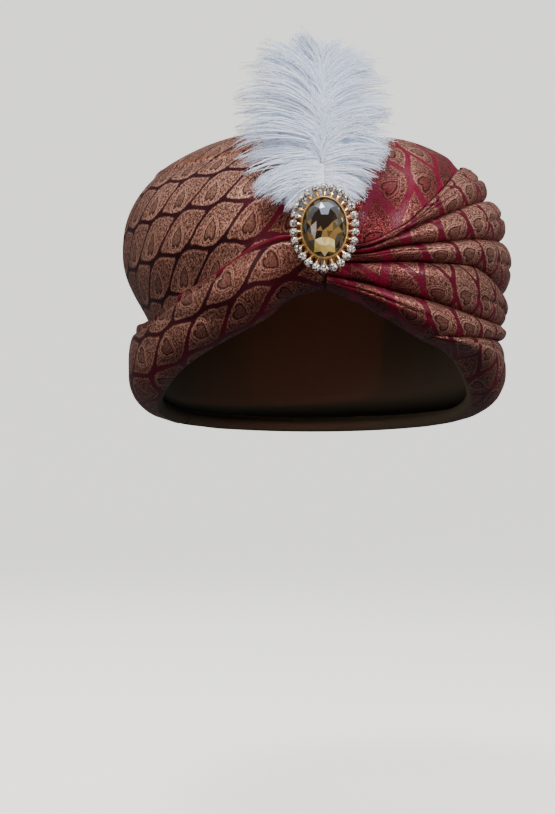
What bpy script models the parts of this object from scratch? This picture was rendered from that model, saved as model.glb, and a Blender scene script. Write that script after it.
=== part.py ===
"""A tied turban: a wound brocade crown, a wide wrap over one side, six pleated folds over the
other, and an oval stone brooch that holds a white plume.

Metres, +Z up, the front faces -Y. The origin is the top of the head hollow, where the head
touches the crown. Turns are degrees round the head from the front, positive towards +X."""

import math

import bmesh
import bpy
from mathutils import Vector

# Sizes of the wound cloth
TURBAN_HEIGHT = 0.200
CROWN_HALF_WIDTH = 0.125
CROWN_HALF_DEPTH = 0.132
CROWN_RISE = 0.0787
CROWN_ROUNDNESS = 2.1
CROWN_WALL = 0.005
CROWN_HEM = 0.010
VALLEY_DEPTH = 0.004
VALLEY_WIDTH = 0.016
HEAD_HALF_WIDTH = 0.096
HEAD_HALF_DEPTH = 0.104
HEAD_BAND = 0.005
FOLD_THICKNESS = 0.013
TUCK_LENGTH = 0.047
SEAT_RAMP = 0.008
ROLL_ROUND = 0.020
LIP_HEIGHT = 0.008
LIP_REACH = 0.003
SEAT_GAP = 0.0006
FOLD_GAP = 0.0004
END_GAP = 0.18

# Sizes of the brooch
STONE_HALF_WIDTH = 0.0125
STONE_HALF_HEIGHT = 0.0172
STONE_RISE = 0.0062
STONE_GIRDLE = 0.0012
BEZEL_WALL = 0.0011
BEZEL_HEIGHT = 0.0034
PLATE_THICKNESS = 0.0012
HALO_HALF_WIDTH = 0.0182
HALO_HALF_HEIGHT = 0.0241
HALO_STONES = 26
HALO_STONE_RADIUS = 0.0021
HALO_STONE_RISE = 0.0016
HALO_STONE_GIRDLE = 0.0005
ARM_THICKNESS = 0.0014
ARM_NECK = 0.0012
BROOCH_SIDE = 0.0035
BROOCH_DROP = 0.0736
BROOCH_TILT = 5.0
BROOCH_STANDOFF = 0.0030
PIN_RADIUS = 0.0011
PIN_LENGTH = 0.022
PIN_SIDE = 0.0055
PIN_DROP = 0.010
METAL_GAP = 0.0003

# Sizes of the plume
PLUME_HEIGHT = 0.111
PLUME_HALF_WIDTH = 0.054
PLUME_SLIM_SIDE = 0.83
PLUME_BELOW = 0.017
PLUME_LEAN = 0.016
QUILL_RADIUS = 0.0011
QUILL_TIP_RADIUS = 0.0005
QUILL_TAIL = 0.026
LOCKS_A_SIDE = 14
LOCK_WIDTH = 0.0124
LOCK_THICKNESS = 0.0018
LOCK_STAGGER = 0.0004

# Stations round the head: closer together at the front, where the cloth is gathered
STATIONS = 44
KNOT_TURN = 2.0
FRONT_CROWDING = 20.0
TUCK_STATION = 27
ROLL_START = 6

# The folds' edges, for each turn: how far below the crown's top, as shares of TURBAN_HEIGHT
EDGE_COLUMNS = ("turn", "top", "b", "c", "d", "e", "f", "rim")
RIGHT_EDGES = (
    (2, 0.400, 0.418, 0.437, 0.462, 0.502, 0.5425, 0.5425),
    (12, 0.408, 0.420, 0.436, 0.463, 0.522, 0.5825, 0.5825),
    (23, 0.352, 0.368, 0.410, 0.457, 0.550, 0.6325, 0.6325),
    (35, 0.260, 0.316, 0.395, 0.457, 0.575, 0.6720, 0.6850),
    (52, 0.175, 0.265, 0.378, 0.462, 0.610, 0.6800, 0.7375),
    (70, 0.140, 0.235, 0.370, 0.515, 0.634, 0.6825, 0.8250),
    (90, 0.125, 0.221, 0.365, 0.550, 0.648, 0.6860, 0.9000),
    (120, 0.160, 0.255, 0.380, 0.535, 0.640, 0.7050, 0.9600),
    (150, 0.250, 0.335, 0.445, 0.565, 0.660, 0.7350, 0.9900),
    (180, 0.370, 0.440, 0.530, 0.625, 0.705, 0.7750, 1.0000),
    (210, 0.500, 0.555, 0.625, 0.695, 0.755, 0.8100, 0.9900),
    (238, 0.605, 0.645, 0.690, 0.740, 0.780, 0.8250, 0.9650),
)
LEFT_COLUMNS = ("turn", "top", "rim")
LEFT_EDGES = (
    (-122, 0.605, 0.9650),
    (-90, 0.635, 0.9100),
    (-70, 0.635, 0.8550),
    (-51, 0.585, 0.7750),
    (-35, 0.525, 0.7100),
    (-25, 0.470, 0.6700),
    (-16, 0.410, 0.6275),
    (-8, 0.385, 0.5700),
    (2, 0.400, 0.5425),
)

# Each fold between two edges: how proud it stands and how deep its upper and lower creases
# are, as shares of FOLD_THICKNESS
FOLD_COLUMNS = ("name", "upper", "lower", "proud", "upper_crease", "lower_crease")
FOLDS = (
    ("right_fold_1", "top", "b", 0.12, 0.05, 0.48),
    ("right_fold_2", "b", "c", -0.08, 0.48, 0.60),
    ("right_fold_3", "c", "d", 0.10, 0.60, 0.52),
    ("right_fold_4", "d", "e", 0.02, 0.52, 0.50),
    ("right_fold_5", "e", "f", 0.06, 0.50, 0.42),
    ("right_roll", "f", "rim", 0.10, 0.42, 0.42),
)
LEFT_SHAPE = (0.42, 0.0, 0.0)
TOP_CREASE = 0.20

# Shares of a fold's height where its outer face, its foot and its inner face have points
OUTER_SHARES = (0.0, 0.06, 0.22, 0.50, 0.78, 0.94, 1.0)
WIDE_SHARES = (0.0, 0.05, 0.15, 0.32, 0.50, 0.66, 0.80, 0.91, 0.97, 1.0)
INNER_SHARES = (1.0, 0.80, 0.55, 0.28, 0.0)
CROWN_SHARES = (0.04, 0.10, 0.18, 0.27, 0.37, 0.48, 0.60, 0.73, 0.86, 0.95, 1.0)
LINING_STEPS = (1, 3, 5, 7, 9, 10, 11, 12, 14)
FOLD_SQUARENESS = 2.6

# How the vane's half width goes with height, and how far each lock sweeps up from level
VANE_COLUMNS = ("height", "half_width", "sweep")
VANE = (
    (0.00, 0.52, -50.0),
    (0.13, 0.70, -32.0),
    (0.28, 0.88, -14.0),
    (0.45, 1.00, 2.0),
    (0.60, 0.95, 18.0),
    (0.75, 0.80, 36.0),
    (0.88, 0.55, 58.0),
    (1.00, 0.22, 82.0),
)

MATERIALS = {
    "brocade": ((0.30, 0.06, 0.07), 0.55, 0.2),
    "gold": ((0.78, 0.52, 0.22), 0.30, 1.0),
    "amber_glass": ((0.62, 0.45, 0.16), 0.08, 0.0),
    "clear_glass": ((0.86, 0.88, 0.88), 0.06, 0.0),
    "plume_white": ((0.86, 0.88, 0.93), 0.70, 0.0),
}


def clear_scene():
    for old in list(bpy.data.objects):
        bpy.data.objects.remove(old)


def material(name):
    """The named finish, made once and then shared."""
    found = bpy.data.materials.get(name)
    if found:
        return found
    colour, roughness, metallic = MATERIALS[name]
    made = bpy.data.materials.new(name)
    made.use_nodes = True
    shader = made.node_tree.nodes["Principled BSDF"]
    shader.inputs["Base Color"].default_value = (*colour, 1.0)
    shader.inputs["Roughness"].default_value = roughness
    shader.inputs["Metallic"].default_value = metallic
    return made


def column(table, names, wanted):
    """The rows' turns or heights with one named column."""
    place = names.index(wanted)
    return [(row[0], row[place]) for row in table]


def smooth_value(rows, x):
    """A smooth curve through rows of (x, value), flat past both ends."""
    if x <= rows[0][0]:
        return rows[0][1]
    for i in range(len(rows) - 1):
        x0, y0 = rows[i]
        x1, y1 = rows[i + 1]
        if x > x1:
            continue
        before = rows[max(i - 1, 0)]
        after = rows[min(i + 2, len(rows) - 1)]
        slope_0 = (y1 - before[1]) / (x1 - before[0])
        slope_1 = (after[1] - y0) / (after[0] - x0)
        t = (x - x0) / (x1 - x0)
        span = x1 - x0
        return (
            (2 * t**3 - 3 * t**2 + 1) * y0
            + (t**3 - 2 * t**2 + t) * span * slope_0
            + (3 * t**2 - 2 * t**3) * y1
            + (t**3 - t**2) * span * slope_1
        )
    return rows[-1][1]


def ease(low, high, x):
    """0 below low, 1 above high, and a smooth step between them."""
    t = min(max((x - low) / (high - low), 0.0), 1.0)
    return t * t * (3 - 2 * t)


def turn_of(station):
    """The turn of a station; station STATIONS is station 0 again."""
    share = station / STATIONS
    return KNOT_TURN + 360 * share - FRONT_CROWDING * math.sin(2 * math.pi * share)


def on_left(turn):
    """The same turn counted from -180 to 180."""
    return turn - 360 if turn > 180 else turn


def edge_drop(name, turn):
    """How far below the crown's top a named edge lies at a turn, in metres."""
    if turn > turn_of(TUCK_STATION) + 1e-6:
        rows = column(LEFT_EDGES, LEFT_COLUMNS, name)
        return smooth_value(rows, turn - 360) * TURBAN_HEIGHT
    rows = column(RIGHT_EDGES, EDGE_COLUMNS, name)
    return smooth_value(rows, turn) * TURBAN_HEIGHT


def reach(turn, half_width, half_depth):
    """How far an oval plan reaches at a turn."""
    angle = math.radians(turn)
    return 1 / math.hypot(math.sin(angle) / half_width, math.cos(angle) / half_depth)


def form_point(turn, drop):
    """The outer form's (radius, height) and outward normal at a drop below the crown's top."""
    widest = reach(turn, CROWN_HALF_WIDTH, CROWN_HALF_DEPTH)
    top = CROWN_WALL
    if drop >= CROWN_RISE:
        side = on_left(turn)
        tuck = 0.082 - 0.062 * ease(-25, 30, side) * (1 - ease(110, 236, turn))
        low = min((drop - CROWN_RISE) / TUCK_LENGTH, 1.0)
        share = 1 - tuck * low * low
        return widest * share, top - drop, Vector((1.0, 0.0))
    rise = max(1 - drop / CROWN_RISE, 0.0)
    power = CROWN_ROUNDNESS
    share = (1 - rise**power) ** (1 / power) if rise < 1 else 0.0
    normal = Vector(
        (share ** (power - 1) / widest, rise ** (power - 1) / CROWN_RISE)
    ).normalized()
    radius = widest * share
    return radius, top - drop, normal


def valley(turn, radius):
    """How deep the shallow valley between the two halves of the crown is."""
    angle = math.radians(turn)
    side = radius * math.sin(angle)
    middle = 0.30 * CROWN_HALF_WIDTH
    return VALLEY_DEPTH * math.exp(-(((side - middle) / VALLEY_WIDTH) ** 2))


def head_reach(turn):
    """The inside of the head band at a turn."""
    return reach(turn, HEAD_HALF_WIDTH, HEAD_HALF_DEPTH)


def gather(turn):
    """How fully the cloth has spread, from the knot at the front out to the sides."""
    spread = ease(-2, 34, turn if turn < 180 else 360 - turn)
    return 0.35 + 0.65 * spread


def seat_point(turn, drop, edge):
    """The crown's outer (radius, height) below the wraps' top edge: as deep as the folds are
    thick on the right, and back to the head band under the wide wrap on the left."""
    radius, height, normal = form_point(turn, drop)
    deep = ease(0, SEAT_RAMP, drop - edge)
    sink = FOLD_THICKNESS * gather(turn) * (TOP_CREASE + (1 - TOP_CREASE) * deep)
    band = head_reach(turn) + HEAD_BAND
    radius = max(radius - sink * normal.x, band)
    tuck = turn_of(TUCK_STATION)
    full = ease(tuck, tuck + 24, turn) * (1 - ease(338, 360, turn))
    return radius + (band - radius) * full * deep, height - sink * normal.y


def crown_outline(turn):
    """The crown's outer (radius, height) points at a turn, from near the top to the hem."""
    edge = edge_drop("top", turn)
    hem = edge_drop("rim", turn) - CROWN_HEM
    points = []
    crease = TOP_CREASE * FOLD_THICKNESS * gather(turn)
    for share in CROWN_SHARES:
        # near the top a step down is a long step outwards, so the shares are squared
        drop = edge * share**1.8
        radius, height, normal = form_point(turn, drop)
        dip = valley(turn, radius) * (1 - ease(0.8, 1.0, share))
        dip += crease * ease(0.85, 1.0, share)
        points.append((radius - dip * normal.x, height - dip * normal.y))
    ramp = min(SEAT_RAMP, 0.4 * (hem - edge)) if hem > edge else 0.0005
    below = [edge + ramp + (hem - edge - ramp) * share for share in (0, 0.33, 0.66, 1)]
    lowest = points[-1][1]
    for drop in below:
        radius, height = seat_point(turn, max(drop, edge + ramp), edge)
        height = min(height, lowest - 0.0004)
        lowest = height
        points.append((radius, height))
    return points


def crown_inner(turn, outline):
    """The crown's inner points, a wall's thickness inside the outline."""
    points = []
    for radius, height in outline:
        drop = CROWN_WALL - height
        normal = form_point(turn, max(drop, 0.0002))[2]
        points.append((radius - CROWN_WALL * normal.x, height - CROWN_WALL * normal.y))
    return points


def place(turn, radius, height):
    """The point at a turn, radius and height."""
    angle = math.radians(turn)
    return Vector((radius * math.sin(angle), -radius * math.cos(angle), height))


def ring_edges(bm, points):
    """A closed loop of edges through the points."""
    verts = [bm.verts.new(p) for p in points]
    return [bm.edges.new((a, b)) for a, b in zip(verts, verts[1:] + verts[:1])]


def bridge(bm, first, second, rising=True):
    """Triangles between two loops whose points match one to one. Cloth that lies on cloth is
    split along the same diagonals, so that the two don't cross between their points."""
    for a, b in zip(first, second):
        (a0, a1), (b0, b1) = a.verts, b.verts
        if rising:
            bm.faces.new((a0, a1, b0))
            bm.faces.new((a1, b1, b0))
        else:
            bm.faces.new((a0, b1, b0))
            bm.faces.new((a0, a1, b1))


def cap(bm, loop, middle=None):
    """Closes a loop with one face, or with a fan to a middle point."""
    if middle is None:
        bm.faces.new([edge.verts[0] for edge in loop])
        return
    centre = bm.verts.new(middle)
    for edge in loop:
        bm.faces.new((edge.verts[0], edge.verts[1], centre))


def loft(sections, middles=(None, None), rising=True):
    """A closed mesh through matching loops of points, capped at both ends."""
    bm = bmesh.new()
    loops = [ring_edges(bm, section) for section in sections]
    for first, second in zip(loops, loops[1:]):
        bridge(bm, first, second, rising)
    cap(bm, loops[0], middles[0])
    cap(bm, loops[-1], middles[1])
    bmesh.ops.recalc_face_normals(bm, faces=bm.faces)
    return bm


def add_object(name, bm, finish, smooth=True, parent=None):
    """Makes the object of a mesh and closes the bmesh."""
    mesh = bpy.data.meshes.new(name)
    bm.to_mesh(mesh)
    bm.free()
    mesh.materials.append(material(finish))
    made = bpy.data.objects.new(name, mesh)
    bpy.context.scene.collection.objects.link(made)
    if smooth:
        mesh.shade_smooth()
        mesh.set_sharp_from_angle(angle=math.radians(50))
    made.parent = parent
    return made


def make_crown():
    """The wound crown: a hollow dome that dips where the folds lie on it."""
    turns = [turn_of(k) for k in range(STATIONS)]
    outlines = [crown_outline(turn) for turn in turns]
    inners = [crown_inner(turn, line) for turn, line in zip(turns, outlines)]
    outer_rings = [
        [place(t, *line[i]) for t, line in zip(turns, outlines)]
        for i in range(len(outlines[0]))
    ]
    inner_rings = [
        [place(t, *line[i]) for t, line in zip(turns, inners)] for i in LINING_STEPS
    ]
    middles = (Vector((0, 0, CROWN_WALL)), Vector((0, 0, 0)))
    rings = outer_rings + inner_rings[::-1]
    return add_object("crown", loft(rings, middles, rising=False), "brocade")


def outline_radius(outline, height):
    """The crown outline's radius at a height, straight between its points."""
    if height >= outline[0][1]:
        return outline[0][0]
    for (r0, z0), (r1, z1) in zip(outline, outline[1:]):
        if z1 <= height <= z0:
            return r0 + (r1 - r0) * (z0 - height) / (z0 - z1)
    return outline[-1][0]


def seat_line(turn, drops):
    """A fold's inner face: points just off the crown at these drops, pushed out until the
    straight lines between them clear the crown's own corners."""
    outline = crown_outline(turn)
    edge = edge_drop("top", turn)
    heights = [seat_point(turn, drop, edge)[1] for drop in drops]
    radii = [outline_radius(outline, height) + SEAT_GAP for height in heights]
    for i in range(len(drops) - 1):
        low, high = heights[i], heights[i + 1]
        for radius, height in outline:
            if not low < height < high:
                continue
            line = radii[i] + (radii[i + 1] - radii[i]) * (height - low) / (high - low)
            short = radius + SEAT_GAP - line
            if short > 0:
                radii[i] += short
                radii[i + 1] += short
    return list(zip(radii, heights))


def fold_section(turn, row, upper, lower, foot, shares):
    """One fold's closed (radius, height) outline at a turn, from its upper crease round its
    outer face to its lower crease or foot, and back up its seat."""
    proud, upper_crease, lower_crease = row
    top = upper + FOLD_GAP
    bottom = lower - (0 if foot else FOLD_GAP)
    thick = FOLD_THICKNESS * gather(turn)
    points = []
    round_from = max(1 - ROLL_ROUND / (bottom - top), 0.35)
    band = head_reach(turn) + HEAD_BAND + SEAT_GAP
    for share in shares:
        drop = top + (bottom - top) * share
        radius, height, normal = form_point(turn, drop)
        bulge = (1 - abs(2 * share - 1) ** FOLD_SQUARENESS) ** (1 / FOLD_SQUARENESS)
        crease = upper_crease if share < 0.5 else lower_crease
        if foot and share >= 0.5:
            bulge = 1.0
        offset = thick * (proud * bulge - crease * (1 - bulge))
        radius += offset * normal.x
        height += offset * normal.y
        if foot:
            down = max(share - round_from, 0) / (1 - round_from)
            radius = band + (radius - band) * (1 - down**2.4) ** (1 / 2.4)
        points.append((radius, height))
    if foot:
        lip = min(LIP_HEIGHT, 0.45 * (bottom - top))
        base = points[-1][1]
        points.append((band - LIP_REACH, base + 0.35 * lip))
        points.append((band - LIP_REACH, base + 0.90 * lip))
        bottom -= lip
    if shares is WIDE_SHARES:
        seat = crown_outline(turn)[-len(INNER_SHARES) :]
        return points + [(radius + SEAT_GAP, height) for radius, height in seat[::-1]]
    drops = [top + (bottom - top) * share for share in INNER_SHARES]
    return points + seat_line(turn, drops)


def make_right_fold(row):
    """One pleat, from under the brooch round the right side to the tuck at the back."""
    name, upper, lower, *shape = row
    sections = []
    for station in range(ROLL_START if lower == "rim" else 0, TUCK_STATION + 1):
        turn = turn_of(station)
        if station == TUCK_STATION:
            turn -= END_GAP
        if station == 0:
            turn += END_GAP
        is_roll = lower == "rim"
        is_foot = is_roll or (lower == "f" and station < ROLL_START)
        drops = edge_drop(upper, turn), edge_drop("rim" if is_foot else lower, turn)
        line = fold_section(turn, shape, *drops, is_foot, OUTER_SHARES)
        if not is_foot and lower == "f":
            line = with_flat_foot(line)
        sections.append([place(turn, *point) for point in line])
    return add_object(name, loft(sections), "brocade")


def with_flat_foot(line):
    """Gives a plain section the two more points that a footed one has at its lip."""
    place_of_foot = len(OUTER_SHARES)
    first, last = Vector(line[place_of_foot - 1]), Vector(line[place_of_foot])
    extra = [tuple(first.lerp(last, share)) for share in (0.35, 0.70)]
    return line[:place_of_foot] + extra + line[place_of_foot:]


def make_left_wrap():
    """The one wide wrap, from under the brooch round the left side to the tuck."""
    sections = []
    for station in range(TUCK_STATION, STATIONS + 1):
        turn = turn_of(station)
        if station == TUCK_STATION:
            turn += END_GAP
        if station == STATIONS:
            turn -= END_GAP
        drops = edge_drop("top", turn), edge_drop("rim", turn)
        line = fold_section(turn, LEFT_SHAPE, *drops, True, WIDE_SHARES)
        sections.append([place(turn, *point) for point in line])
    return add_object("left_wrap", loft(sections), "brocade")


def oval(half_width, half_height, count, height, start=0.5):
    """Points evenly spaced along an oval, with the outward direction at each."""
    fine = 720
    walk = [2 * math.pi * i / fine for i in range(fine + 1)]
    lengths = [0.0]
    for a, b in zip(walk, walk[1:]):
        step = math.hypot(
            half_width * (math.cos(b) - math.cos(a)),
            half_height * (math.sin(b) - math.sin(a)),
        )
        lengths.append(lengths[-1] + step)
    points = []
    at = 0
    for i in range(count):
        wanted = lengths[-1] * (i + start) / count
        while lengths[at + 1] < wanted:
            at += 1
        angle = walk[at]
        spot = Vector(
            (half_width * math.cos(angle), half_height * math.sin(angle), height)
        )
        out = Vector((math.cos(angle) / half_width, math.sin(angle) / half_height, 0))
        points.append((spot, out.normalized()))
    return points


def oval_ring(half_width, half_height, count, height, turned=0.0):
    """Points round an oval at equal angles."""
    angles = [2 * math.pi * (i + turned) / count for i in range(count)]
    return [
        Vector((half_width * math.cos(a), half_height * math.sin(a), height))
        for a in angles
    ]


def make_setting(brooch):
    """The gold dish and bezel round the big stone, with an arm out to each small one."""
    count = 32
    inner = STONE_HALF_WIDTH + METAL_GAP, STONE_HALF_HEIGHT + METAL_GAP
    outer = inner[0] + BEZEL_WALL, inner[1] + BEZEL_WALL
    top = PLATE_THICKNESS + BEZEL_HEIGHT
    rings = [
        oval_ring(*outer, count, 0.0),
        oval_ring(*outer, count, top - 0.35 * BEZEL_WALL),
        oval_ring(*(0.5 * (a + b) for a, b in zip(inner, outer)), count, top),
        oval_ring(*inner, count, top - 0.35 * BEZEL_WALL),
        oval_ring(*inner, count, PLATE_THICKNESS),
    ]
    bowl = add_object("brooch_setting", loft(rings), "gold", parent=brooch)
    bm = bmesh.new()
    middle_x = (inner[0] + BEZEL_WALL / 2) / HALO_HALF_WIDTH
    middle_y = (inner[1] + BEZEL_WALL / 2) / HALO_HALF_HEIGHT
    for spot, out in oval(HALO_HALF_WIDTH, HALO_HALF_HEIGHT, HALO_STONES, 0.0):
        root = Vector((spot.x * middle_x, spot.y * middle_y, 0))
        add_arm(bm, root, spot, out)
    bmesh.ops.recalc_face_normals(bm, faces=bm.faces)
    arms = add_object("arm_guide", bm, "gold", parent=brooch)
    arms.hide_render = True
    arms.display_type = "WIRE"
    join = bowl.modifiers.new("arms", "BOOLEAN")
    join.operation = "UNION"
    join.object = arms
    return bowl


def add_arm(bm, root, spot, out):
    """One arm: narrow where it leaves the bezel and as wide as its stone at the end."""
    across = Vector((-out.y, out.x, 0))
    seat = HALO_STONE_RADIUS
    outline = [
        root - across * ARM_NECK / 2,
        spot - across * seat * 0.98 - out * seat * 0.2,
        spot + out * seat * 0.62 - across * seat * 0.72,
        spot + out * seat * 0.98,
        spot + out * seat * 0.62 + across * seat * 0.72,
        spot + across * seat * 0.98 - out * seat * 0.2,
        root + across * ARM_NECK / 2,
    ]
    low = ring_edges(bm, [p + Vector((0, 0, 0.0003)) for p in outline])
    high = ring_edges(bm, [p + Vector((0, 0, ARM_THICKNESS)) for p in outline])
    bridge(bm, low, high)
    cap(bm, low)
    cap(bm, high)


def faceted_stone(name, rings, finish, brooch, spot=Vector()):
    """A cut stone: the flat facets that wrap a few rings of corners."""
    bm = bmesh.new()
    for ring in rings:
        for point in ring:
            bm.verts.new(point)
    bmesh.ops.convex_hull(bm, input=bm.verts)
    bmesh.ops.recalc_face_normals(bm, faces=bm.faces)
    stone = add_object(name, bm, finish, smooth=False, parent=brooch)
    stone.location = spot
    return stone


def make_centre_stone(brooch):
    """The big oval stone: a table, two rows of facets and a girdle in the bezel."""
    base = PLATE_THICKNESS + METAL_GAP
    rows = (
        (0.90, 16, base, 0.5),
        (1.00, 16, base + STONE_GIRDLE, 0.0),
        (1.00, 16, base + 2 * STONE_GIRDLE, 0.0),
        (0.80, 8, base + 2 * STONE_GIRDLE + 0.55 * STONE_RISE, 0.5),
        (0.44, 8, base + 2 * STONE_GIRDLE + STONE_RISE, 0.0),
    )
    rings = [
        oval_ring(STONE_HALF_WIDTH * s, STONE_HALF_HEIGHT * s, n, z, turned)
        for s, n, z, turned in rows
    ]
    return faceted_stone("centre_stone", rings, "amber_glass", brooch)


def make_halo_stones(brooch):
    """The small round stones, one at the end of each arm."""
    radius = HALO_STONE_RADIUS
    rings = (
        oval_ring(radius * 0.94, radius * 0.94, 8, 0.0),
        oval_ring(radius, radius, 8, HALO_STONE_GIRDLE),
        oval_ring(radius * 0.56, radius * 0.56, 8, HALO_STONE_RISE, 0.5),
    )
    seat = ARM_THICKNESS + METAL_GAP
    spots = oval(HALO_HALF_WIDTH, HALO_HALF_HEIGHT, HALO_STONES, seat)
    for number, (spot, _) in enumerate(spots, start=1):
        name = f"halo_stone_{number:02d}"
        faceted_stone(name, rings, "clear_glass", brooch, spot)


def rod(start, end, radius, sides=8):
    """A plain round bar between two points."""
    axis = end - start
    turn = axis.to_track_quat("Z", "Y").to_matrix()
    ring = oval_ring(radius, radius, sides, 0.0)
    return loft([[start + turn @ p for p in ring], [end + turn @ p for p in ring]])


def make_pin(brooch):
    """The plain pin bar behind the plate, which lies on the cloth."""
    back = -METAL_GAP - PIN_RADIUS
    low = Vector((PIN_SIDE, -PIN_DROP - PIN_LENGTH / 2, back))
    high = Vector((PIN_SIDE, -PIN_DROP + PIN_LENGTH / 2, back))
    return add_object(
        "brooch_pin", rod(low, high, PIN_RADIUS), "gold", parent=brooch
    )


def front_face():
    """How far forward the wraps reach under the brooch."""
    turn = turn_of(STATIONS) - 0.001
    drops = edge_drop("top", turn), edge_drop("rim", turn)
    line = fold_section(turn, LEFT_SHAPE, *drops, True, WIDE_SHARES)
    crown = form_point(turn, BROOCH_DROP)[0]
    return max(max(point[0] for point in line), crown)


def add_brooch_empty():
    """The brooch's own frame: x to the side, y up its face, z out towards the viewer."""
    empty = bpy.data.objects.new("brooch_frame", None)
    bpy.context.scene.collection.objects.link(empty)
    height = CROWN_WALL - BROOCH_DROP
    empty.location = (BROOCH_SIDE, -(front_face() + BROOCH_STANDOFF), height)
    empty.rotation_euler = (math.radians(90 - BROOCH_TILT), 0, 0)
    return empty


def plume_spine(share):
    """The quill's line in the brooch's frame: up behind the plate, then leaning back."""
    low = STONE_HALF_HEIGHT - PLUME_BELOW
    height = low + PLUME_HEIGHT * share
    back = -METAL_GAP - QUILL_RADIUS - PLUME_LEAN * max(share, 0.0) ** 1.6
    return Vector((-0.001, height, back))


def make_plume(brooch):
    """The plume's outer form: a quill with soft locks fused to it on both sides."""
    bm = bmesh.new()
    steps = 8
    tail = -QUILL_TAIL / PLUME_HEIGHT
    sections = []
    for i in range(steps + 1):
        share = tail + (0.97 - tail) * i / steps
        radius = QUILL_RADIUS + (QUILL_TIP_RADIUS - QUILL_RADIUS) * max(share, 0)
        spot = plume_spine(share)
        ring = oval_ring(radius, radius, 6, 0.0)
        sections.append([spot + Vector((p.x, 0, p.y)) for p in ring])
    quill = add_object("plume", loft(sections), "plume_white", parent=brooch)
    for side in (-1, 1):
        for number in range(LOCKS_A_SIDE):
            add_lock(bm, side, (number + 0.5) / LOCKS_A_SIDE, number % 2)
    bmesh.ops.recalc_face_normals(bm, faces=bm.faces)
    locks = add_object("lock_guide", bm, "plume_white", parent=brooch)
    locks.hide_render = True
    locks.display_type = "WIRE"
    join = quill.modifiers.new("locks", "BOOLEAN")
    join.operation = "UNION"
    join.use_self = True
    join.object = locks
    return quill


def add_lock(bm, side, share, lifted):
    """One lock of barbs: a flat strip that sweeps out from the quill to the vane's outline.
    Every second one lies a little higher, so that they overlap as soft barbs do."""
    root_share = 0.10 + 0.86 * share
    root = plume_spine(root_share)
    sweep = math.radians(smooth_value(column(VANE, VANE_COLUMNS, "sweep"), share))
    reach_out = smooth_value(column(VANE, VANE_COLUMNS, "half_width"), share)
    length = PLUME_HALF_WIDTH * reach_out * (1.0 if side < 0 else PLUME_SLIM_SIDE)
    along = Vector((side * math.cos(sweep), math.sin(sweep), 0))
    across = Vector((-along.y, along.x, 0))
    loops = []
    for t, width in ((0.0, 0.45), (0.35, 0.9), (0.78, 1.0), (1.0, 0.30)):
        droop = Vector((0, -0.10 * length * t * t, -0.06 * length * t * t))
        droop.z += LOCK_STAGGER * lifted * t
        middle = root + along * length * t + droop
        half = across * LOCK_WIDTH * width / 2
        thick = Vector((0, 0, LOCK_THICKNESS / 2 * (1 - 0.6 * t)))
        corners = (middle - half, middle - thick, middle + half, middle + thick)
        loops.append(ring_edges(bm, corners))
    for first, second in zip(loops, loops[1:]):
        bridge(bm, first, second)
    cap(bm, loops[0])
    cap(bm, loops[-1])


def main():
    clear_scene()
    make_crown()
    make_left_wrap()
    for row in FOLDS:
        make_right_fold(row)
    brooch = add_brooch_empty()
    make_setting(brooch)
    make_pin(brooch)
    make_centre_stone(brooch)
    make_halo_stones(brooch)
    make_plume(brooch)


main()
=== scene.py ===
# %% [markdown]
# # A tied turban with a plumed brooch
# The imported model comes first, as a fixed frame in metres. The front faces -Y and the origin
# is where the inside of the crown rests when the turban is worn. Everything below dresses
# that frame: it gives each solid its real cloth, metal, glass or feather, and never moves or
# resizes it.

import math

import bmesh
import bpy
import numpy as np
from mathutils import Matrix, Vector, noise


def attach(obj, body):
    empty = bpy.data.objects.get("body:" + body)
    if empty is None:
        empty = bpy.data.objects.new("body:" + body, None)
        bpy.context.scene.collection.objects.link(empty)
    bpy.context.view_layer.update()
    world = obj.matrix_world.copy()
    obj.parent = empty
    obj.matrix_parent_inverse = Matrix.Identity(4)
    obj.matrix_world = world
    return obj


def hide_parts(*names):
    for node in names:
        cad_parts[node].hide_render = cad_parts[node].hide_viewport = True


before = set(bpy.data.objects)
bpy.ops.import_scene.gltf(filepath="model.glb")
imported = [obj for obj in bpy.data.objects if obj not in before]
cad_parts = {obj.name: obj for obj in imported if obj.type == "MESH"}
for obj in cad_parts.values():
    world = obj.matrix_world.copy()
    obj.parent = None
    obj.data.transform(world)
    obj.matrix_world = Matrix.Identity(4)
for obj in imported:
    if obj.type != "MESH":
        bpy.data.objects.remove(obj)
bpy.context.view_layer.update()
BODY = "root"

# %% [markdown]
# ## Where the viewer stands
# The photograph looks level at the turban from a little over a metre. A longer lens from
# that distance keeps the near brooch and the far rim in the right proportion. The picture is
# tall, and the turban sits in its upper half, so the lens is shifted down by a few percent
# instead of tilting the camera, which would make upright lines lean.

# %% Camera
EYE = Vector((-0.0240, -1.40, -0.1517))
METRES_A_PIXEL = 0.00065
PHOTO_HEIGHT = 814
HORIZON_ABOVE_MIDDLE = 37
SENSOR_MM = 36.0


def added(name, data):
    """A new object in the scene that shows a mesh, a lamp or a lens."""
    made = bpy.data.objects.new(name, data)
    bpy.context.scene.collection.objects.link(made)
    return made


lens = bpy.data.cameras.new("camera")
lens.sensor_width = SENSOR_MM
lens.lens = SENSOR_MM * -EYE.y / (METRES_A_PIXEL * PHOTO_HEIGHT)
lens.shift_y = -HORIZON_ABOVE_MIDDLE / PHOTO_HEIGHT
camera = added("camera", lens)
camera.location = EYE
camera.rotation_euler = (math.radians(90), 0, 0)
bpy.context.scene.camera = camera
print("lens:", round(lens.lens, 1), "mm")

# %% [markdown]
# ## The ground
# A pale round sweep, floor and wall in one curve all the way round, gives a plain ground with
# no horizon line from any side. It glows a little by itself, so that it stays even, and it is
# only seen: it sends no light back, so that the folds keep their dark undersides.

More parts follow.
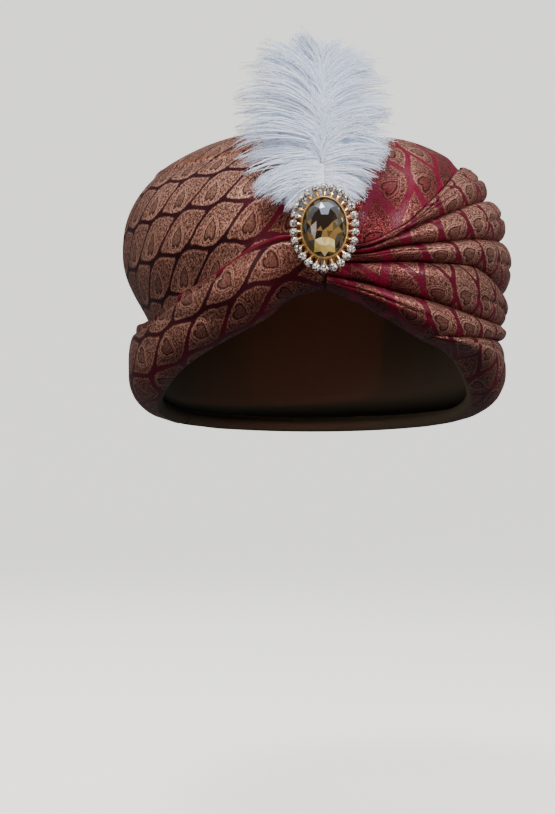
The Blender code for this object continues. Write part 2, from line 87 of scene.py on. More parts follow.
# %% Sweep
FLOOR_BELOW = 0.46
SWEEP_FLAT, SWEEP_RADIUS, SWEEP_BEND, SWEEP_HEIGHT, SWEEP_SIDES = 0.6, 3.4, 1.4, 4.5, 96
PLASTER, PLASTER_ROUGHNESS = (0.72, 0.71, 0.68), 0.9
PLASTER_GLOW, PLASTER_GLOW_STRENGTH = (1.0, 0.995, 0.94), 1.28


def plain_material(name, colour, roughness, metallic=0.0):
    """A new material with one Principled shader, and that shader."""
    made = bpy.data.materials.new(name)
    made.use_nodes = True
    shader = made.node_tree.nodes["Principled BSDF"]
    shader.inputs["Base Color"].default_value = (*colour, 1.0)
    shader.inputs["Roughness"].default_value = roughness
    shader.inputs["Metallic"].default_value = metallic
    return made, shader


def sweep_line():
    """The sweep's side view: out along the floor, round a quarter turn and up the wall."""
    bend = [math.radians(a) for a in range(0, 91, 6)]
    start = SWEEP_RADIUS - SWEEP_BEND
    line = [(start + SWEEP_BEND * math.sin(a), SWEEP_BEND * (1 - math.cos(a))) for a in bend]
    return [(SWEEP_FLAT, 0.0)] + line + [(SWEEP_RADIUS, SWEEP_HEIGHT)]


bm = bmesh.new()
rings = []
for radius, height in sweep_line():
    ring = []
    for k in range(SWEEP_SIDES):
        angle = 2 * math.pi * k / SWEEP_SIDES
        spot = (radius * math.cos(angle), radius * math.sin(angle), height - FLOOR_BELOW)
        ring.append(bm.verts.new(spot))
    rings.append(ring)
bm.faces.new(rings[0])
for low, high in zip(rings, rings[1:]):
    for k in range(SWEEP_SIDES):
        after = (k + 1) % SWEEP_SIDES
        bm.faces.new((low[after], low[k], high[k], high[after]))
mesh = bpy.data.meshes.new("sweep")
bm.to_mesh(mesh)
bm.free()
mesh.shade_smooth()
plaster, plaster_shader = plain_material("plaster", PLASTER, PLASTER_ROUGHNESS)
plaster_shader.inputs["Emission Color"].default_value = (*PLASTER_GLOW, 1.0)
plaster_shader.inputs["Emission Strength"].default_value = PLASTER_GLOW_STRENGTH
mesh.materials.append(plaster)
sweep = added("sweep", mesh)
sweep.visible_glossy = False
sweep.visible_diffuse = False
print("sweep faces:", len(mesh.polygons))

# %% [markdown]
# ## The light
# The light is soft and comes from above and in front, as in a shop. Each lamp is a square
# panel, because a wide source gives satin a broad sheen where a small one would give sparks.
# A weak warm panel stands low on one side, and another near the ground gives the rim a faint
# red glow. One behind parts the crown from the ground. The last two are kept out of
# reflections, since metal thread seen at a flat angle would mirror them as a milky edge.

# %% Lights
PANELS = (
    # name, place, width, power, colour
    ("key", (-0.25, -0.75, 1.25), 0.42, 27.0, (1.0, 0.985, 0.96)),
    ("top", (0.35, 0.05, 1.05), 0.5, 4.0, (1.0, 0.99, 0.98)),
    ("side", (-1.00, -1.00, 0.00), 0.5, 5.5, (1.0, 0.82, 0.74)),
    ("fold", (1.05, -0.72, 0.42), 0.30, 17.0, (1.0, 0.97, 0.95)),
    ("glow", (0.05, -0.95, -0.80), 0.5, 5.0, (1.0, 0.26, 0.14)),
    ("back", (-0.45, 1.15, 0.80), 0.6, 12.0, (1.0, 0.97, 0.95)),
)
UNSEEN_IN_GLOSS = ("glow", "back")
AIM = Vector((0.0, 0.0, -0.08))
SKY, SKY_STRENGTH = (0.86, 0.89, 0.93), 0.13

for name, spot, width, power, colour in PANELS:
    panel = bpy.data.lights.new(name, "AREA")
    panel.size = width
    panel.energy = power
    panel.color = colour
    lamp = added(name, panel)
    lamp.location = spot
    lamp.rotation_euler = (AIM - Vector(spot)).to_track_quat("-Z", "Y").to_euler()
    lamp.visible_glossy = name not in UNSEEN_IN_GLOSS
sky = bpy.data.worlds.new("sky")
sky.use_nodes = True
sky.node_tree.nodes["Background"].inputs["Color"].default_value = (*SKY, 1.0)
sky.node_tree.nodes["Background"].inputs["Strength"].default_value = SKY_STRENGTH
bpy.context.scene.world = sky
print("lights:", len(PANELS))

# %% [markdown]
# ## The turban's own measures
# A tied turban has no drawing, so its form is written down as it was measured: how high, wide
# and deep it stands, and how far below the crown's top each fold's edge runs as one walks
# round it. Turns are degrees from the front, towards the viewer's right, and drops are shares
# of the height. The same few sizes shaped the solid model, and the cloth follows them here,
# only far more finely.

# %% Sizes and edge tables
TURBAN_HEIGHT = 0.200
CROWN_HALF_WIDTH, CROWN_HALF_DEPTH = 0.125, 0.132
CROWN_RISE, CROWN_ROUNDNESS, CROWN_WALL = 0.0787, 2.1, 0.005
OPENING_HALF_WIDTH, OPENING_HALF_DEPTH, BAND_WALL = 0.096, 0.104, 0.005
START_TURN, TUCK_TURN, END_TURN = 2.0, 236.0, 362.0

EDGE_COLUMNS = ("turn", "top", "b", "c", "d", "e", "f", "rim")
RIGHT_EDGES = (
    (2, 0.400, 0.418, 0.437, 0.462, 0.502, 0.5425, 0.5425),
    (12, 0.408, 0.420, 0.436, 0.463, 0.522, 0.5825, 0.5825),
    (23, 0.352, 0.368, 0.410, 0.457, 0.550, 0.6325, 0.6325),
    (35, 0.260, 0.316, 0.395, 0.457, 0.575, 0.6720, 0.6850),
    (52, 0.175, 0.265, 0.378, 0.462, 0.610, 0.6800, 0.7375),
    (70, 0.140, 0.235, 0.370, 0.515, 0.634, 0.6825, 0.8250),
    (90, 0.125, 0.221, 0.365, 0.550, 0.648, 0.6860, 0.9000),
    (120, 0.160, 0.255, 0.380, 0.535, 0.640, 0.7050, 0.9600),
    (150, 0.250, 0.335, 0.445, 0.565, 0.660, 0.7350, 0.9900),
    (180, 0.370, 0.440, 0.530, 0.625, 0.705, 0.7750, 1.0000),
    (210, 0.500, 0.555, 0.625, 0.695, 0.755, 0.8100, 0.9900),
    (238, 0.605, 0.645, 0.690, 0.740, 0.780, 0.8250, 0.9650),
)
LEFT_COLUMNS = ("turn", "top", "rim")
LEFT_EDGES = (
    (-122, 0.605, 0.9650),
    (-90, 0.635, 0.9100),
    (-70, 0.635, 0.8550),
    (-51, 0.585, 0.7750),
    (-35, 0.525, 0.7100),
    (-25, 0.470, 0.6700),
    (-16, 0.410, 0.6275),
    (-8, 0.385, 0.5700),
    (2, 0.400, 0.5425),
)
print("edges:", len(EDGE_COLUMNS) - 1, "on the right,", len(LEFT_COLUMNS) - 1, "on the left")

# %% [markdown]
# ## The form as a function
# Any spot on the turban is a turn round its upright axis and a drop below the top. The dome is
# a quarter of a rounded oval down to the widest line. Below that the sides tuck in a little
# towards the opening. Written as functions, the form can be asked for a point and its outward
# direction anywhere, which each piece of cloth below does.

# %% Curves through the tables


def column(table, names, wanted):
    """The rows' first value with one named column."""
    return [(row[0], row[names.index(wanted)]) for row in table]


def smooth_value(rows, x):
    """A smooth curve through rows of (x, value), flat past both ends."""
    if x <= rows[0][0]:
        return rows[0][1]
    for i in range(len(rows) - 1):
        (x0, y0), (x1, y1) = rows[i], rows[i + 1]
        if x > x1:
            continue
        before, after = rows[max(i - 1, 0)], rows[min(i + 2, len(rows) - 1)]
        slope_0 = (y1 - before[1]) / (x1 - before[0])
        slope_1 = (after[1] - y0) / (after[0] - x0)
        span = x1 - x0
        t = (x - x0) / span
        return (
            (2 * t**3 - 3 * t**2 + 1) * y0
            + (t**3 - 2 * t**2 + t) * span * slope_0
            + (3 * t**2 - 2 * t**3) * y1
            + (t**3 - t**2) * span * slope_1
        )
    return rows[-1][1]


def ease(low, high, x):
    """0 below low, 1 above high, and a smooth step between them."""
    t = min(max((x - low) / (high - low), 0.0), 1.0)
    return t * t * (3 - 2 * t)


print("top edge at the side:", smooth_value(column(RIGHT_EDGES, EDGE_COLUMNS, "top"), 90))

# %% Form functions
TUCK_LENGTH, TUCK_SHARE, RIGHT_TUCK_LOSS = 0.047, 0.082, 0.062
KNOT_SPREAD, SPREAD_TURN = 0.35, 34


def edge_drop(name, turn):
    """How far below the crown's top a named edge lies at a turn, in metres."""
    if turn > TUCK_TURN + 1e-6:
        rows = column(LEFT_EDGES, LEFT_COLUMNS, name)
        return smooth_value(rows, turn - 360) * TURBAN_HEIGHT
    return smooth_value(column(RIGHT_EDGES, EDGE_COLUMNS, name), turn) * TURBAN_HEIGHT


def reach(turn, half_width, half_depth):
    """How far an oval plan reaches at a turn."""
    angle = math.radians(turn)
    return 1 / math.hypot(math.sin(angle) / half_width, math.cos(angle) / half_depth)


def form_point(turn, drop):
    """The form's (radius, height) at a drop, and its outward normal in the same two."""
    widest = reach(turn, CROWN_HALF_WIDTH, CROWN_HALF_DEPTH)
    top = CROWN_WALL
    if drop >= CROWN_RISE:
        side = turn - 360 if turn > 270 else turn
        on_right = ease(-25, 30, side) * (1 - ease(110, TUCK_TURN, turn))
        tuck = TUCK_SHARE - RIGHT_TUCK_LOSS * on_right
        low = min((drop - CROWN_RISE) / TUCK_LENGTH, 1.0)
        return widest * (1 - tuck * low * low), top - drop, (1.0, 0.0)
    rise = 1 - max(drop, 0.0) / CROWN_RISE
    power = CROWN_ROUNDNESS
    share = (1 - rise**power) ** (1 / power)
    out, up = share ** (power - 1) / widest, rise ** (power - 1) / CROWN_RISE
    size = math.hypot(out, up)
    return widest * share, top - drop, (out / size, up / size)


def inner_band(turn):
    """The outside of the band round the opening at a turn."""
    return reach(turn, OPENING_HALF_WIDTH, OPENING_HALF_DEPTH) + BAND_WALL


def gather(turn):
    """How fully the cloth has spread, from the knot at the front out to the sides."""
    from_front = turn if turn < 180 else 360 - turn
    return KNOT_SPREAD + (1 - KNOT_SPREAD) * ease(-2, SPREAD_TURN, from_front)


def place(turn, radius, height):
    """The point at a turn, radius and height."""
    angle = math.radians(turn)
    return (radius * math.sin(angle), -radius * math.cos(angle), height)


print("widest line:", round(form_point(90, CROWN_RISE)[0] * 2, 4), "m across")


# %% [markdown]
# ## Tools for cloth surfaces
# Each piece of cloth is a grid: sections one after another, each a closed loop of points. The
# grid gives the faces, the way the woven pattern lies on them, and the outward direction in
# which small wrinkles push. Wrinkles are real relief and not a painted shadow, so they also
# show from the side.

# %% Grid tools


def grid_normals(grid):
    """The outward direction at each point of a grid (sections, points, 3)."""
    along = np.gradient(grid, axis=0)
    across = np.roll(grid, -1, 1) - np.roll(grid, 1, 1)
    normal = np.cross(along, across)
    size = np.linalg.norm(normal, axis=2, keepdims=True)
    normal = normal / np.maximum(size, 1e-12)
    middle = grid.mean(axis=1, keepdims=True)
    if np.sum(normal * (grid - middle)) < 0:
        normal = -normal
    return normal


def grid_faces(sections, points, closed_ends):
    """Quads of a grid, as (section, point) pairs for their four corners."""
    last = sections if closed_ends else sections - 1
    i, j = np.meshgrid(np.arange(last), np.arange(points), indexing="ij")
    i, j = i.ravel(), j.ravel()
    return np.stack([np.stack([i, j], 1), np.stack([i + 1, j], 1),
                     np.stack([i + 1, j + 1], 1), np.stack([i, j + 1], 1)], 1)


def woven_mesh(name, verts, faces, pattern, shade, inside):
    """A mesh that carries the weave's two coordinates on its corners and three tints on its
    points. inside marks the faces that take the second finish, the lining."""
    mesh = bpy.data.meshes.new(name)
    mesh.from_pydata(verts, [], faces)
    layer = mesh.uv_layers.new(name="cloth")
    flat = np.zeros((len(mesh.loops), 2), np.float32)
    flat[: pattern.size // 2] = pattern.reshape(-1, 2)
    layer.data.foreach_set("uv", flat.ravel())
    tints = mesh.attributes.new("shade", "FLOAT_VECTOR", "POINT")
    tints.data.foreach_set("vector", shade.reshape(-1).astype(np.float32))
    for finish in (BROCADE, LINING):
        mesh.materials.append(finish)
    marks = np.zeros(len(mesh.polygons), np.int32)
    marks[: len(inside)] = inside
    mesh.polygons.foreach_set("material_index", marks)
    return mesh


def cloth_object(name, grid, pattern, shade, first_lined):
    """A closed mesh through the grid's sections, capped at both ends. pattern gives the weave's
    two coordinates at each point and shade its three tints. Points from first_lined on are
    lining."""
    sections, points = grid.shape[:2]
    corners = grid_faces(sections, points, False)
    index = corners[..., 0] * points + corners[..., 1] % points
    uv = pattern[corners[..., 0], corners[..., 1] % points]
    seam = corners[:, 0, 1] == points - 1
    uv[seam] = uv[seam][:, :1]
    ends = [tuple(range(points)), tuple((sections - 1) * points + k for k in range(points))]
    faces = [tuple(f) for f in index.tolist()] + ends
    inside = corners[:, 0, 1] >= first_lined
    verts = grid.reshape(-1, 3).tolist()
    return tidy_object(name, woven_mesh(name, verts, faces, uv, shade, inside))


def tidy_object(name, mesh):
    """Makes all faces look outwards, smooths their shading and adds the object."""
    bm = bmesh.new()
    bm.from_mesh(mesh)
    bmesh.ops.recalc_face_normals(bm, faces=bm.faces)
    bm.to_mesh(mesh)
    bm.free()
    mesh.shade_smooth()
    return added(name, mesh)


def wave(point, size, seed=0.0):
    """Smooth noise from -1 to 1 whose bumps are about size metres wide."""
    return noise.noise(Vector((point[0] / size + seed, point[1] / size, point[2] / size)))


def dress(made, node):
    """The piece stands for a solid of the frame: it joins the frame's body, and the solid is
    hidden.
    """
    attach(made, BODY)
    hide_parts(node)
    return made


print("quads in a closed grid of 3 by 4:", len(grid_faces(3, 4, True)))

# %% [markdown]
# ## The brocade
# The cloth is a satin ground with a raised pattern of copper and gold thread. The pattern is a
# lattice of leaf-shaped cells, and each cell holds a filled leaf with a heart in it, drawn
# with fine curls. Two opposite half waves make the lattice, so the cells always close up.
# The pattern is written as arithmetic on the cloth's own two coordinates, in metres, and so
# it bends and foreshortens with the folds as woven cloth does.

# %% Arithmetic on the cloth


class Field:
    """A number that varies over the cloth, so that a pattern can be written as a sum."""

    def __init__(self, tree, socket):
        self.tree = tree
        self.socket = socket

    def math(self, operation, *others):
        node = self.tree.nodes.new("ShaderNodeMath")
        node.operation = operation
        for socket, value in zip(node.inputs, (self, *others)):
            if isinstance(value, Field):
                self.tree.links.new(value.socket, socket)
            else:
                socket.default_value = value
        return Field(self.tree, node.outputs[0])

    def __add__(self, other):
        return self.math("ADD", other)

    def __sub__(self, other):
        return self.math("SUBTRACT", other)

    def __mul__(self, other):
        return self.math("MULTIPLY", other)

    def __truediv__(self, other):
        return self.math("DIVIDE", other)

    def size(self):
        return self.math("ABSOLUTE")

    def least(self, other):
        return self.math("MINIMUM", other)

    def most(self, other):
        return self.math("MAXIMUM", other)

    def step(self, low, high):
        """0 below low and 1 above high, with a smooth step between them."""
        node = self.tree.nodes.new("ShaderNodeMapRange")
        node.interpolation_type = "SMOOTHSTEP"
        node.inputs["From Min"].default_value = low
        node.inputs["From Max"].default_value = high
        self.tree.links.new(self.socket, node.inputs["Value"])
        return Field(self.tree, node.outputs["Result"])

    def wrapped(self, period):
        """The distance from the nearest whole number of periods, with its sign."""
        return self - (self / period).math("ROUND") * period

    def line(self, middle, width, soft):
        """1 where the number is close to middle: a drawn line with soft sides."""
        return ((self - middle).size() * -1.0 + width).step(0.0, soft)

    def rest(self):
        """What is missing to 1."""
        return self * -1.0 + 1.0


def noise_field(tree, u, v, size, detail=0.0, seed=0.0):
    """Noise over the cloth, about 0 to 1, with bumps of about that size."""
    join = tree.nodes.new("ShaderNodeCombineXYZ")
    tree.links.new((u / size).socket, join.inputs["X"])
    tree.links.new((v / size).socket, join.inputs["Y"])
    join.inputs["Z"].default_value = seed
    made = tree.nodes.new("ShaderNodeTexNoise")
    made.inputs["Scale"].default_value = 1.0
    made.inputs["Detail"].default_value = detail
    tree.links.new(join.outputs[0], made.inputs["Vector"])
    return Field(tree, made.outputs["Fac"])


def mix_colours(tree, share, first, second):
    """A colour between two, each given as a colour or as a socket."""
    node = tree.nodes.new("ShaderNodeMix")
    node.data_type = "RGBA"
    tree.links.new(share.socket, node.inputs["Factor"])
    for socket, value in ((node.inputs[6], first), (node.inputs[7], second)):
        if isinstance(value, tuple):
            socket.default_value = (*value, 1.0)
        else:
            tree.links.new(value, socket)
    return node.outputs[2]


def linear(red, green, blue):
    """A colour given from 0 to 255, as light."""
    return tuple(((c / 255 + 0.055) / 1.055) ** 2.4 for c in (red, green, blue))


print("middle grey as light:", round(linear(128, 128, 128)[0], 3))

# %% [markdown]
# ## Leaves, hearts and curls
# One function draws the leaf lattice and says where in its own leaf each spot of cloth lies.
# The next measures how far a spot lies from the heart's middle, on a circle whose upper half
# dips. The outline and the lines that echo it are then drawn where that number is close to a
# chosen one. Drawing by distance, and not from a picture, keeps every edge crisp at any size
# and lets one number set the width of a line.

# %% Leaf lattice
CELL_WIDTH, CELL_RISE = 0.0252, 0.0304
LEAF_GAP, LEAF_TIP, TIP_SLOPE, LEAF_EDGE, GAP_GROWTH = 0.00130, 0.0218, 0.8, 0.00012, 0.0013
TOOTH_PITCH, TOOTH_DEPTH = 0.0016, 0.00035


def leaf_lattice(p, q, crimson):
    """A spot's place (across, up) in its own leaf, and how far it lies inside the leaf's edge,
    in metres. Gaps grow where the cloth turns crimson."""
    row_q, row_p = q.wrapped(2 * CELL_RISE), p.wrapped(CELL_WIDTH)
    other_q = (q + CELL_RISE).wrapped(2 * CELL_RISE)
    other_p = (p + CELL_WIDTH / 2).wrapped(CELL_WIDTH)
    half = ((row_q * (math.pi / CELL_RISE)).math("COSINE") + 1.0) * (CELL_WIDTH / 4)
    edge = half - row_p.size()
    even = edge.math("GREATER_THAN", 0.0)
    here_p = other_p + (row_p - other_p) * even
    here_q = other_q + (row_q - other_q) * even
    tooth = (here_q.wrapped(TOOTH_PITCH).size() / TOOTH_PITCH - 0.25) * (2 * TOOTH_DEPTH)
    tip = (here_q.size() * -1.0 + LEAF_TIP) * TIP_SLOPE
    inside = (edge.size() + tooth - crimson * GAP_GROWTH - LEAF_GAP).least(tip)
    return here_p, here_q, inside


print("leaf cell:", CELL_WIDTH, "by", 2 * CELL_RISE, "m")

# %% Heart
HEART_WIDTH, HEART_DROP, HEART_DIP = 0.0044, 0.0030, 0.85
HEART_LEAN = math.sin(math.radians(118)), math.cos(math.radians(118))


def heart_size(here_p, here_q):
    """How many hearts' widths a spot lies from the heart's middle: 1 on its outline."""
    low_q = here_q + HEART_DROP
    heart_x = (here_p * HEART_LEAN[1] + low_q * HEART_LEAN[0]).size() / HEART_WIDTH
    heart_y = (low_q * HEART_LEAN[1] - here_p * HEART_LEAN[0]) / HEART_WIDTH
    lobe = heart_y - heart_x.math("SQRT") * HEART_DIP
    return (heart_x * heart_x + lobe * lobe * HEART_DIP).math("SQRT")


print("heart:", 2 * HEART_WIDTH, "m across")

# %% [markdown]
# ## Thread and satin
# Metal thread is worn unevenly: pale where it stands up, brown where it lies low, darker in
# the drawn lines. The satin between the leaves is deep red, and it is painted brighter where
# the lit number is high, as painted sheen. Three numbers on the mesh, crimson, gold and lit, say
# where the cloth changes, so that one material serves all its pieces. Crimson is partly the
# cloth's own red and partly painted shade and warm light low on the folds and the wrap, gold is
# a painted warm highlight, and lit is painted sheen.

# %% Brocade colours
THREAD_PALE = linear(248, 192, 168)
THREAD_MID = linear(110, 58, 47)
THREAD_HEART = linear(104, 78, 68)
THREAD_DARK = linear(24, 4, 6)
# crimson thread: partly the cloth's own red, partly painted shade and warm light low down
THREAD_CRIMSON = linear(104, 10, 28)
# orange for the painted warm highlight that the gold number lays on the thread
THREAD_PAINTED_GLINT = linear(170, 94, 48)
# the satin's deep red, and GROUND_LIT, its painted sheen where the lit number is high
GROUND_DEEP = linear(22, 0, 5)
GROUND_LIT = (0.22, 0.0, 0.030)
SWAY_SIZE, SWAY = 0.006, 0.0011
CURL_SIZE, CURL_LINE, CURL_SOFT = 0.0010, 0.085, 0.045
FLECK_SIZE, WEAR_SIZE = 0.0015, 0.05
RELIEF_STRENGTH, RELIEF_DEPTH = 0.55, 0.0005


def cloth_fields(tree):
    """The cloth's two coordinates and its three tints, as the mesh carries them."""
    spot = tree.nodes.new("ShaderNodeUVMap")
    spot.uv_map = "cloth"
    split = tree.nodes.new("ShaderNodeSeparateXYZ")
    tree.links.new(spot.outputs[0], split.inputs[0])
    tint = tree.nodes.new("ShaderNodeAttribute")
    tint.attribute_name = "shade"
    parts = tree.nodes.new("ShaderNodeSeparateXYZ")
    tree.links.new(tint.outputs["Vector"], parts.inputs[0])
    return [Field(tree, split.outputs[k]) for k in "XY"] + [
        Field(tree, parts.outputs[k]) for k in "XYZ"]


print("satin, deep and lit:", [round(c, 3) for c in GROUND_DEEP + GROUND_LIT])

# %% Brocade material
def brocade_material():
    """Copper thread leaves on a crimson satin ground."""
    made, shader = plain_material("brocade", THREAD_MID, 0.45)
    tree = made.node_tree
    u, v, crimson, gold, lit = cloth_fields(tree)

    # a hand's unevenness in the drawing
    p = u + (noise_field(tree, u, v, SWAY_SIZE, seed=3.0) - 0.5) * SWAY
    q = v + (noise_field(tree, u, v, SWAY_SIZE, seed=9.0) - 0.5) * SWAY
    here_p, here_q, inside = leaf_lattice(p, q, crimson)
    leaf = inside.step(-LEAF_EDGE, LEAF_EDGE)
    rim_line = inside.line(0.0011, 0.00030, 0.0002)

    # the heart and the lines that echo it
    heart = heart_size(here_p, here_q)
    outline = heart.line(1.0, 0.13, 0.06)
    echo = heart.line(1.33, 0.09, 0.07).most(heart.line(1.72, 0.08, 0.07))
    within = heart.rest().step(0.0, 0.12)

    # fine curls all over the leaf, calmer inside the heart
    curl = (noise_field(tree, p, q, CURL_SIZE, 1.0) - 0.5).line(0.0, CURL_LINE, CURL_SOFT)
    curl = curl * (within * -0.75 + 1.0) * echo.rest() * rim_line.rest()
    fleck = noise_field(tree, p, q, FLECK_SIZE, 2.0, seed=5.0).step(0.35, 0.65)
    worn = noise_field(tree, u, v, WEAR_SIZE, 1.0, seed=7.0).step(0.3, 0.7)

    thread = mix_colours(tree, fleck * 0.7 + worn * 0.15, THREAD_MID, THREAD_PALE)
    for share, colour in (
        (echo.most(rim_line * 0.4) * 0.55, THREAD_PALE),
        (within * 0.6, THREAD_HEART),
        # gold lays a painted warm highlight on the thread
        (gold * 0.7, THREAD_PAINTED_GLINT),
        # crimson: partly the cloth's own red, partly painted shade
        (crimson * 0.76, THREAD_CRIMSON),
        (curl.most(outline) * 0.88, THREAD_DARK),
    ):
        thread = mix_colours(tree, share, thread, colour)
    # lit paints the satin brighter: painted sheen
    ground = mix_colours(tree, lit, GROUND_DEEP, GROUND_LIT)
    cloth = mix_colours(tree, leaf, ground, thread)
    tree.links.new(cloth, shader.inputs["Base Color"])

    rough = leaf * 0.09 + curl * 0.1 + 0.31
    tree.links.new(rough.socket, shader.inputs["Roughness"])
    tree.links.new((leaf * 0.6).socket, shader.inputs["Metallic"])
    shader.inputs["Specular IOR Level"].default_value = 0.22
    shader.inputs["Sheen Weight"].default_value = 0.0

    # raised thread, sunk lines
    bump = tree.nodes.new("ShaderNodeBump")
    bump.inputs["Strength"].default_value = RELIEF_STRENGTH
    bump.inputs["Distance"].default_value = RELIEF_DEPTH
    height = leaf - curl * 0.5 - outline * 0.6 + fleck * 0.3
    tree.links.new(height.socket, bump.inputs["Height"])
    tree.links.new(bump.outputs[0], shader.inputs["Normal"])
    return made


BROCADE = brocade_material()
LINING, _ = plain_material("lining", linear(92, 86, 70), 0.85)
print("brocade nodes:", len(BROCADE.node_tree.nodes))

# %% [markdown]
# ## The crown
# The cap of the turban is cloth wound and drawn tight over the top. Two lengths meet in a
# shallow valley a little to the right of the middle, and on the left a top layer lies over the
# one below it with its rolled edge. Under the wraps the crown dips inwards to make room for
# them, and it is lined, since it is hollow. Sculpting would need a hand for every dent. Here
# each is one term in a sum, so its depth and place can be read and changed.

# %% Valley and join
VALLEY_DEPTH, VALLEY_WIDTH, VALLEY_SIDE, VALLEY_DRIFT = 0.004, 0.016, 0.0375, 0.022
JOIN_TURN_IN, JOIN_FRONT, JOIN_FREE = 0.026, -0.128, -0.085


def valley_side(y):
    """Where the valley lies: it drifts to the middle towards the back."""
    return VALLEY_SIDE - VALLEY_DRIFT * ease(-0.06, 0.12, y)


def join_side(y):
    """Where the two lengths of cloth meet: in front it turns in under the brooch."""
    return valley_side(y) - JOIN_TURN_IN * (1 - ease(JOIN_FRONT, JOIN_FREE, y))


print("valley in front:", VALLEY_SIDE, "m right of the middle")

# %% Seat under the wraps
FOLD_THICKNESS, TOP_CREASE, SEAT_RAMP = 0.013, 0.20, 0.008
CLING_TURNS = 24


def seat_point(turn, drop, edge):
    """The crown's outer (radius, height) under the wraps."""
    radius, height, (out, up) = form_point(turn, drop)
    deep = ease(0, SEAT_RAMP, drop - edge)
    sink = FOLD_THICKNESS * gather(turn) * (TOP_CREASE + (1 - TOP_CREASE) * deep)
    band = inner_band(turn)
    radius = max(radius - sink * out, band)
    full = ease(TUCK_TURN, TUCK_TURN + CLING_TURNS, turn) * (1 - ease(338, 360, turn))
    return radius + (band - radius) * full * deep, height - sink * up


print("seat at the side:", [round(x, 4) for x in seat_point(90, 0.1, edge_drop("top", 90))])

# %% Crown's side view
CROWN_TURNS, CROWN_RINGS, CAP_RINGS, SEAT_RINGS = 320, 110, 48, 8
CAP_GROWTH, SIDE_GROWTH = 1.8, 1.15
CROWN_HEM, RING_STEP, LEAST_RAMP = 0.010, 0.0004, 0.0005
CAP_EDGE = ((-180, 0.034), (-90, 0.033), (-60, 0.030), (-30, 0.0245), (12, 0.021),
            (60, 0.018), (90, 0.016), (130, 0.020), (180, 0.034))
CAP_STEP, CAP_ROLL_AT, CAP_ROLL_WIDTH = 0.0008, 0.0018, 0.0012
SEAM_DEPTH, SEAM_WIDTH, NOTCH_DEPTH = 0.0015, 0.0022, 0.0035


def hump(x, width):
    """A soft bump that is 1 at zero and fades over a width on both sides."""
    return math.exp(-((x / width) ** 2))


def crown_dip(turn, drop, edge, cap, point):
    """How far the outer cloth lies below the plain form, in metres."""
    share = (drop / edge) ** (1 / CAP_GROWTH)
    from_join = point[0] - join_side(point[1])
    dip = VALLEY_DEPTH * hump(point[0] - valley_side(point[1]), VALLEY_WIDTH)
    dip += SEAM_DEPTH * hump(from_join, SEAM_WIDTH)
    dip *= 1 - ease(0.8, 1.0, share)
    dip += TOP_CREASE * FOLD_THICKNESS * gather(turn) * ease(0.85, 1.0, share)
    dip += NOTCH_DEPTH * gather(turn) * ease(0.80, 1.0, share) * ease(236, 250, turn)
    if from_join < 0:
        dip += CAP_STEP * ease(cap - 0.0004, cap + 0.0006, drop)
        dip -= CAP_STEP * 0.6 * hump(drop - cap + CAP_ROLL_AT, CAP_ROLL_WIDTH)
    return dip


def crown_line(turn):
    """The crown's outer (radius, height, drop) from the top down to the hem. One ring lies on
    the top layer's edge all the way round, so that the edge is cut cleanly."""
    edge = edge_drop("top", turn)
    hem = edge_drop("rim", turn) - CROWN_HEM
    cap = smooth_value(CAP_EDGE, turn - 360 if turn > 180 else turn)
    line = []
    for k in range(1, CROWN_RINGS + 1):
        if k <= CAP_RINGS:
            drop = cap * (k / CAP_RINGS) ** CAP_GROWTH
        else:
            below = (k - CAP_RINGS) / (CROWN_RINGS - CAP_RINGS)
            drop = cap + (edge - cap) * below ** SIDE_GROWTH
        radius, height, (out, up) = form_point(turn, drop)
        dip = crown_dip(turn, drop, edge, cap, place(turn, radius, height))
        line.append((radius - dip * out, height - dip * up, drop))
    ramp = min(SEAT_RAMP, 0.4 * (hem - edge)) if hem > edge else LEAST_RAMP
    lowest = line[-1][1]
    for k in range(SEAT_RINGS):
        drop = edge + ramp + max((hem - edge - ramp) * k / (SEAT_RINGS - 1), 0.0)
        radius, height = seat_point(turn, drop, edge)
        lowest = min(height, lowest - RING_STEP)
        line.append((radius, lowest, drop))
    return line


def arc_lengths(line):
    """How far along a line of (radius, height, ...) each of its points is."""
    steps = [math.hypot(b[0] - a[0], b[1] - a[1]) for a, b in zip(line, line[1:])]
    return [0.0] + list(np.cumsum(steps))


crown_turns = [START_TURN + 360 * i / CROWN_TURNS for i in range(CROWN_TURNS)]
crown_lines = [crown_line(turn) for turn in crown_turns]
walk = [Vector(place(turn, reach(turn, CROWN_HALF_WIDTH, CROWN_HALF_DEPTH), 0))
        for turn in crown_turns + [END_TURN]]
around = [0.0]
for here, after in zip(walk, walk[1:]):
    around.append(around[-1] + (after - here).length)
print("round the crown:", round(around[-1], 3), "m")

# %% [markdown]
# The pattern lies differently on the crown's three lengths of cloth. Round the left side it
# follows the band that was wound there. On the top layer it lies flat, and on the right it
# comes up from the folds and goes over the top, so its leaves stand nearly upright.

# %% Crown pattern
RIGHT_CENTRE = Vector((0.62, -0.60, 0.50)).normalized()
RIGHT_UP = (Vector((0, 0, 1)) - RIGHT_CENTRE * RIGHT_CENTRE.z).normalized()
RIGHT_ACROSS = RIGHT_UP.cross(RIGHT_CENTRE)
LEFT_WEAVE, RIGHT_WEAVE = math.radians(29), math.radians(78)
LEFT_HEART, RIGHT_HEART = (331.5, 0.069), (35.25, 0.040)
TOP_PHASE = (0.004, 0.007)
UPRIGHT_SHARE, UPRIGHT_TURN = 0.8, -40
BALL, BALL_RADIUS = Vector((0, 0, -0.07)), 0.118


def slanted(across, up, weave, phase):
    """Pattern coordinates from two plain ones: weave is the angle of the leaves' long axis."""
    q = across / math.cos(weave) if weave < 1 else up / math.sin(weave)
    p = up - across * math.tan(weave) if weave < 1 else across - up / math.tan(weave)
    return p + phase[0], q + phase[1]


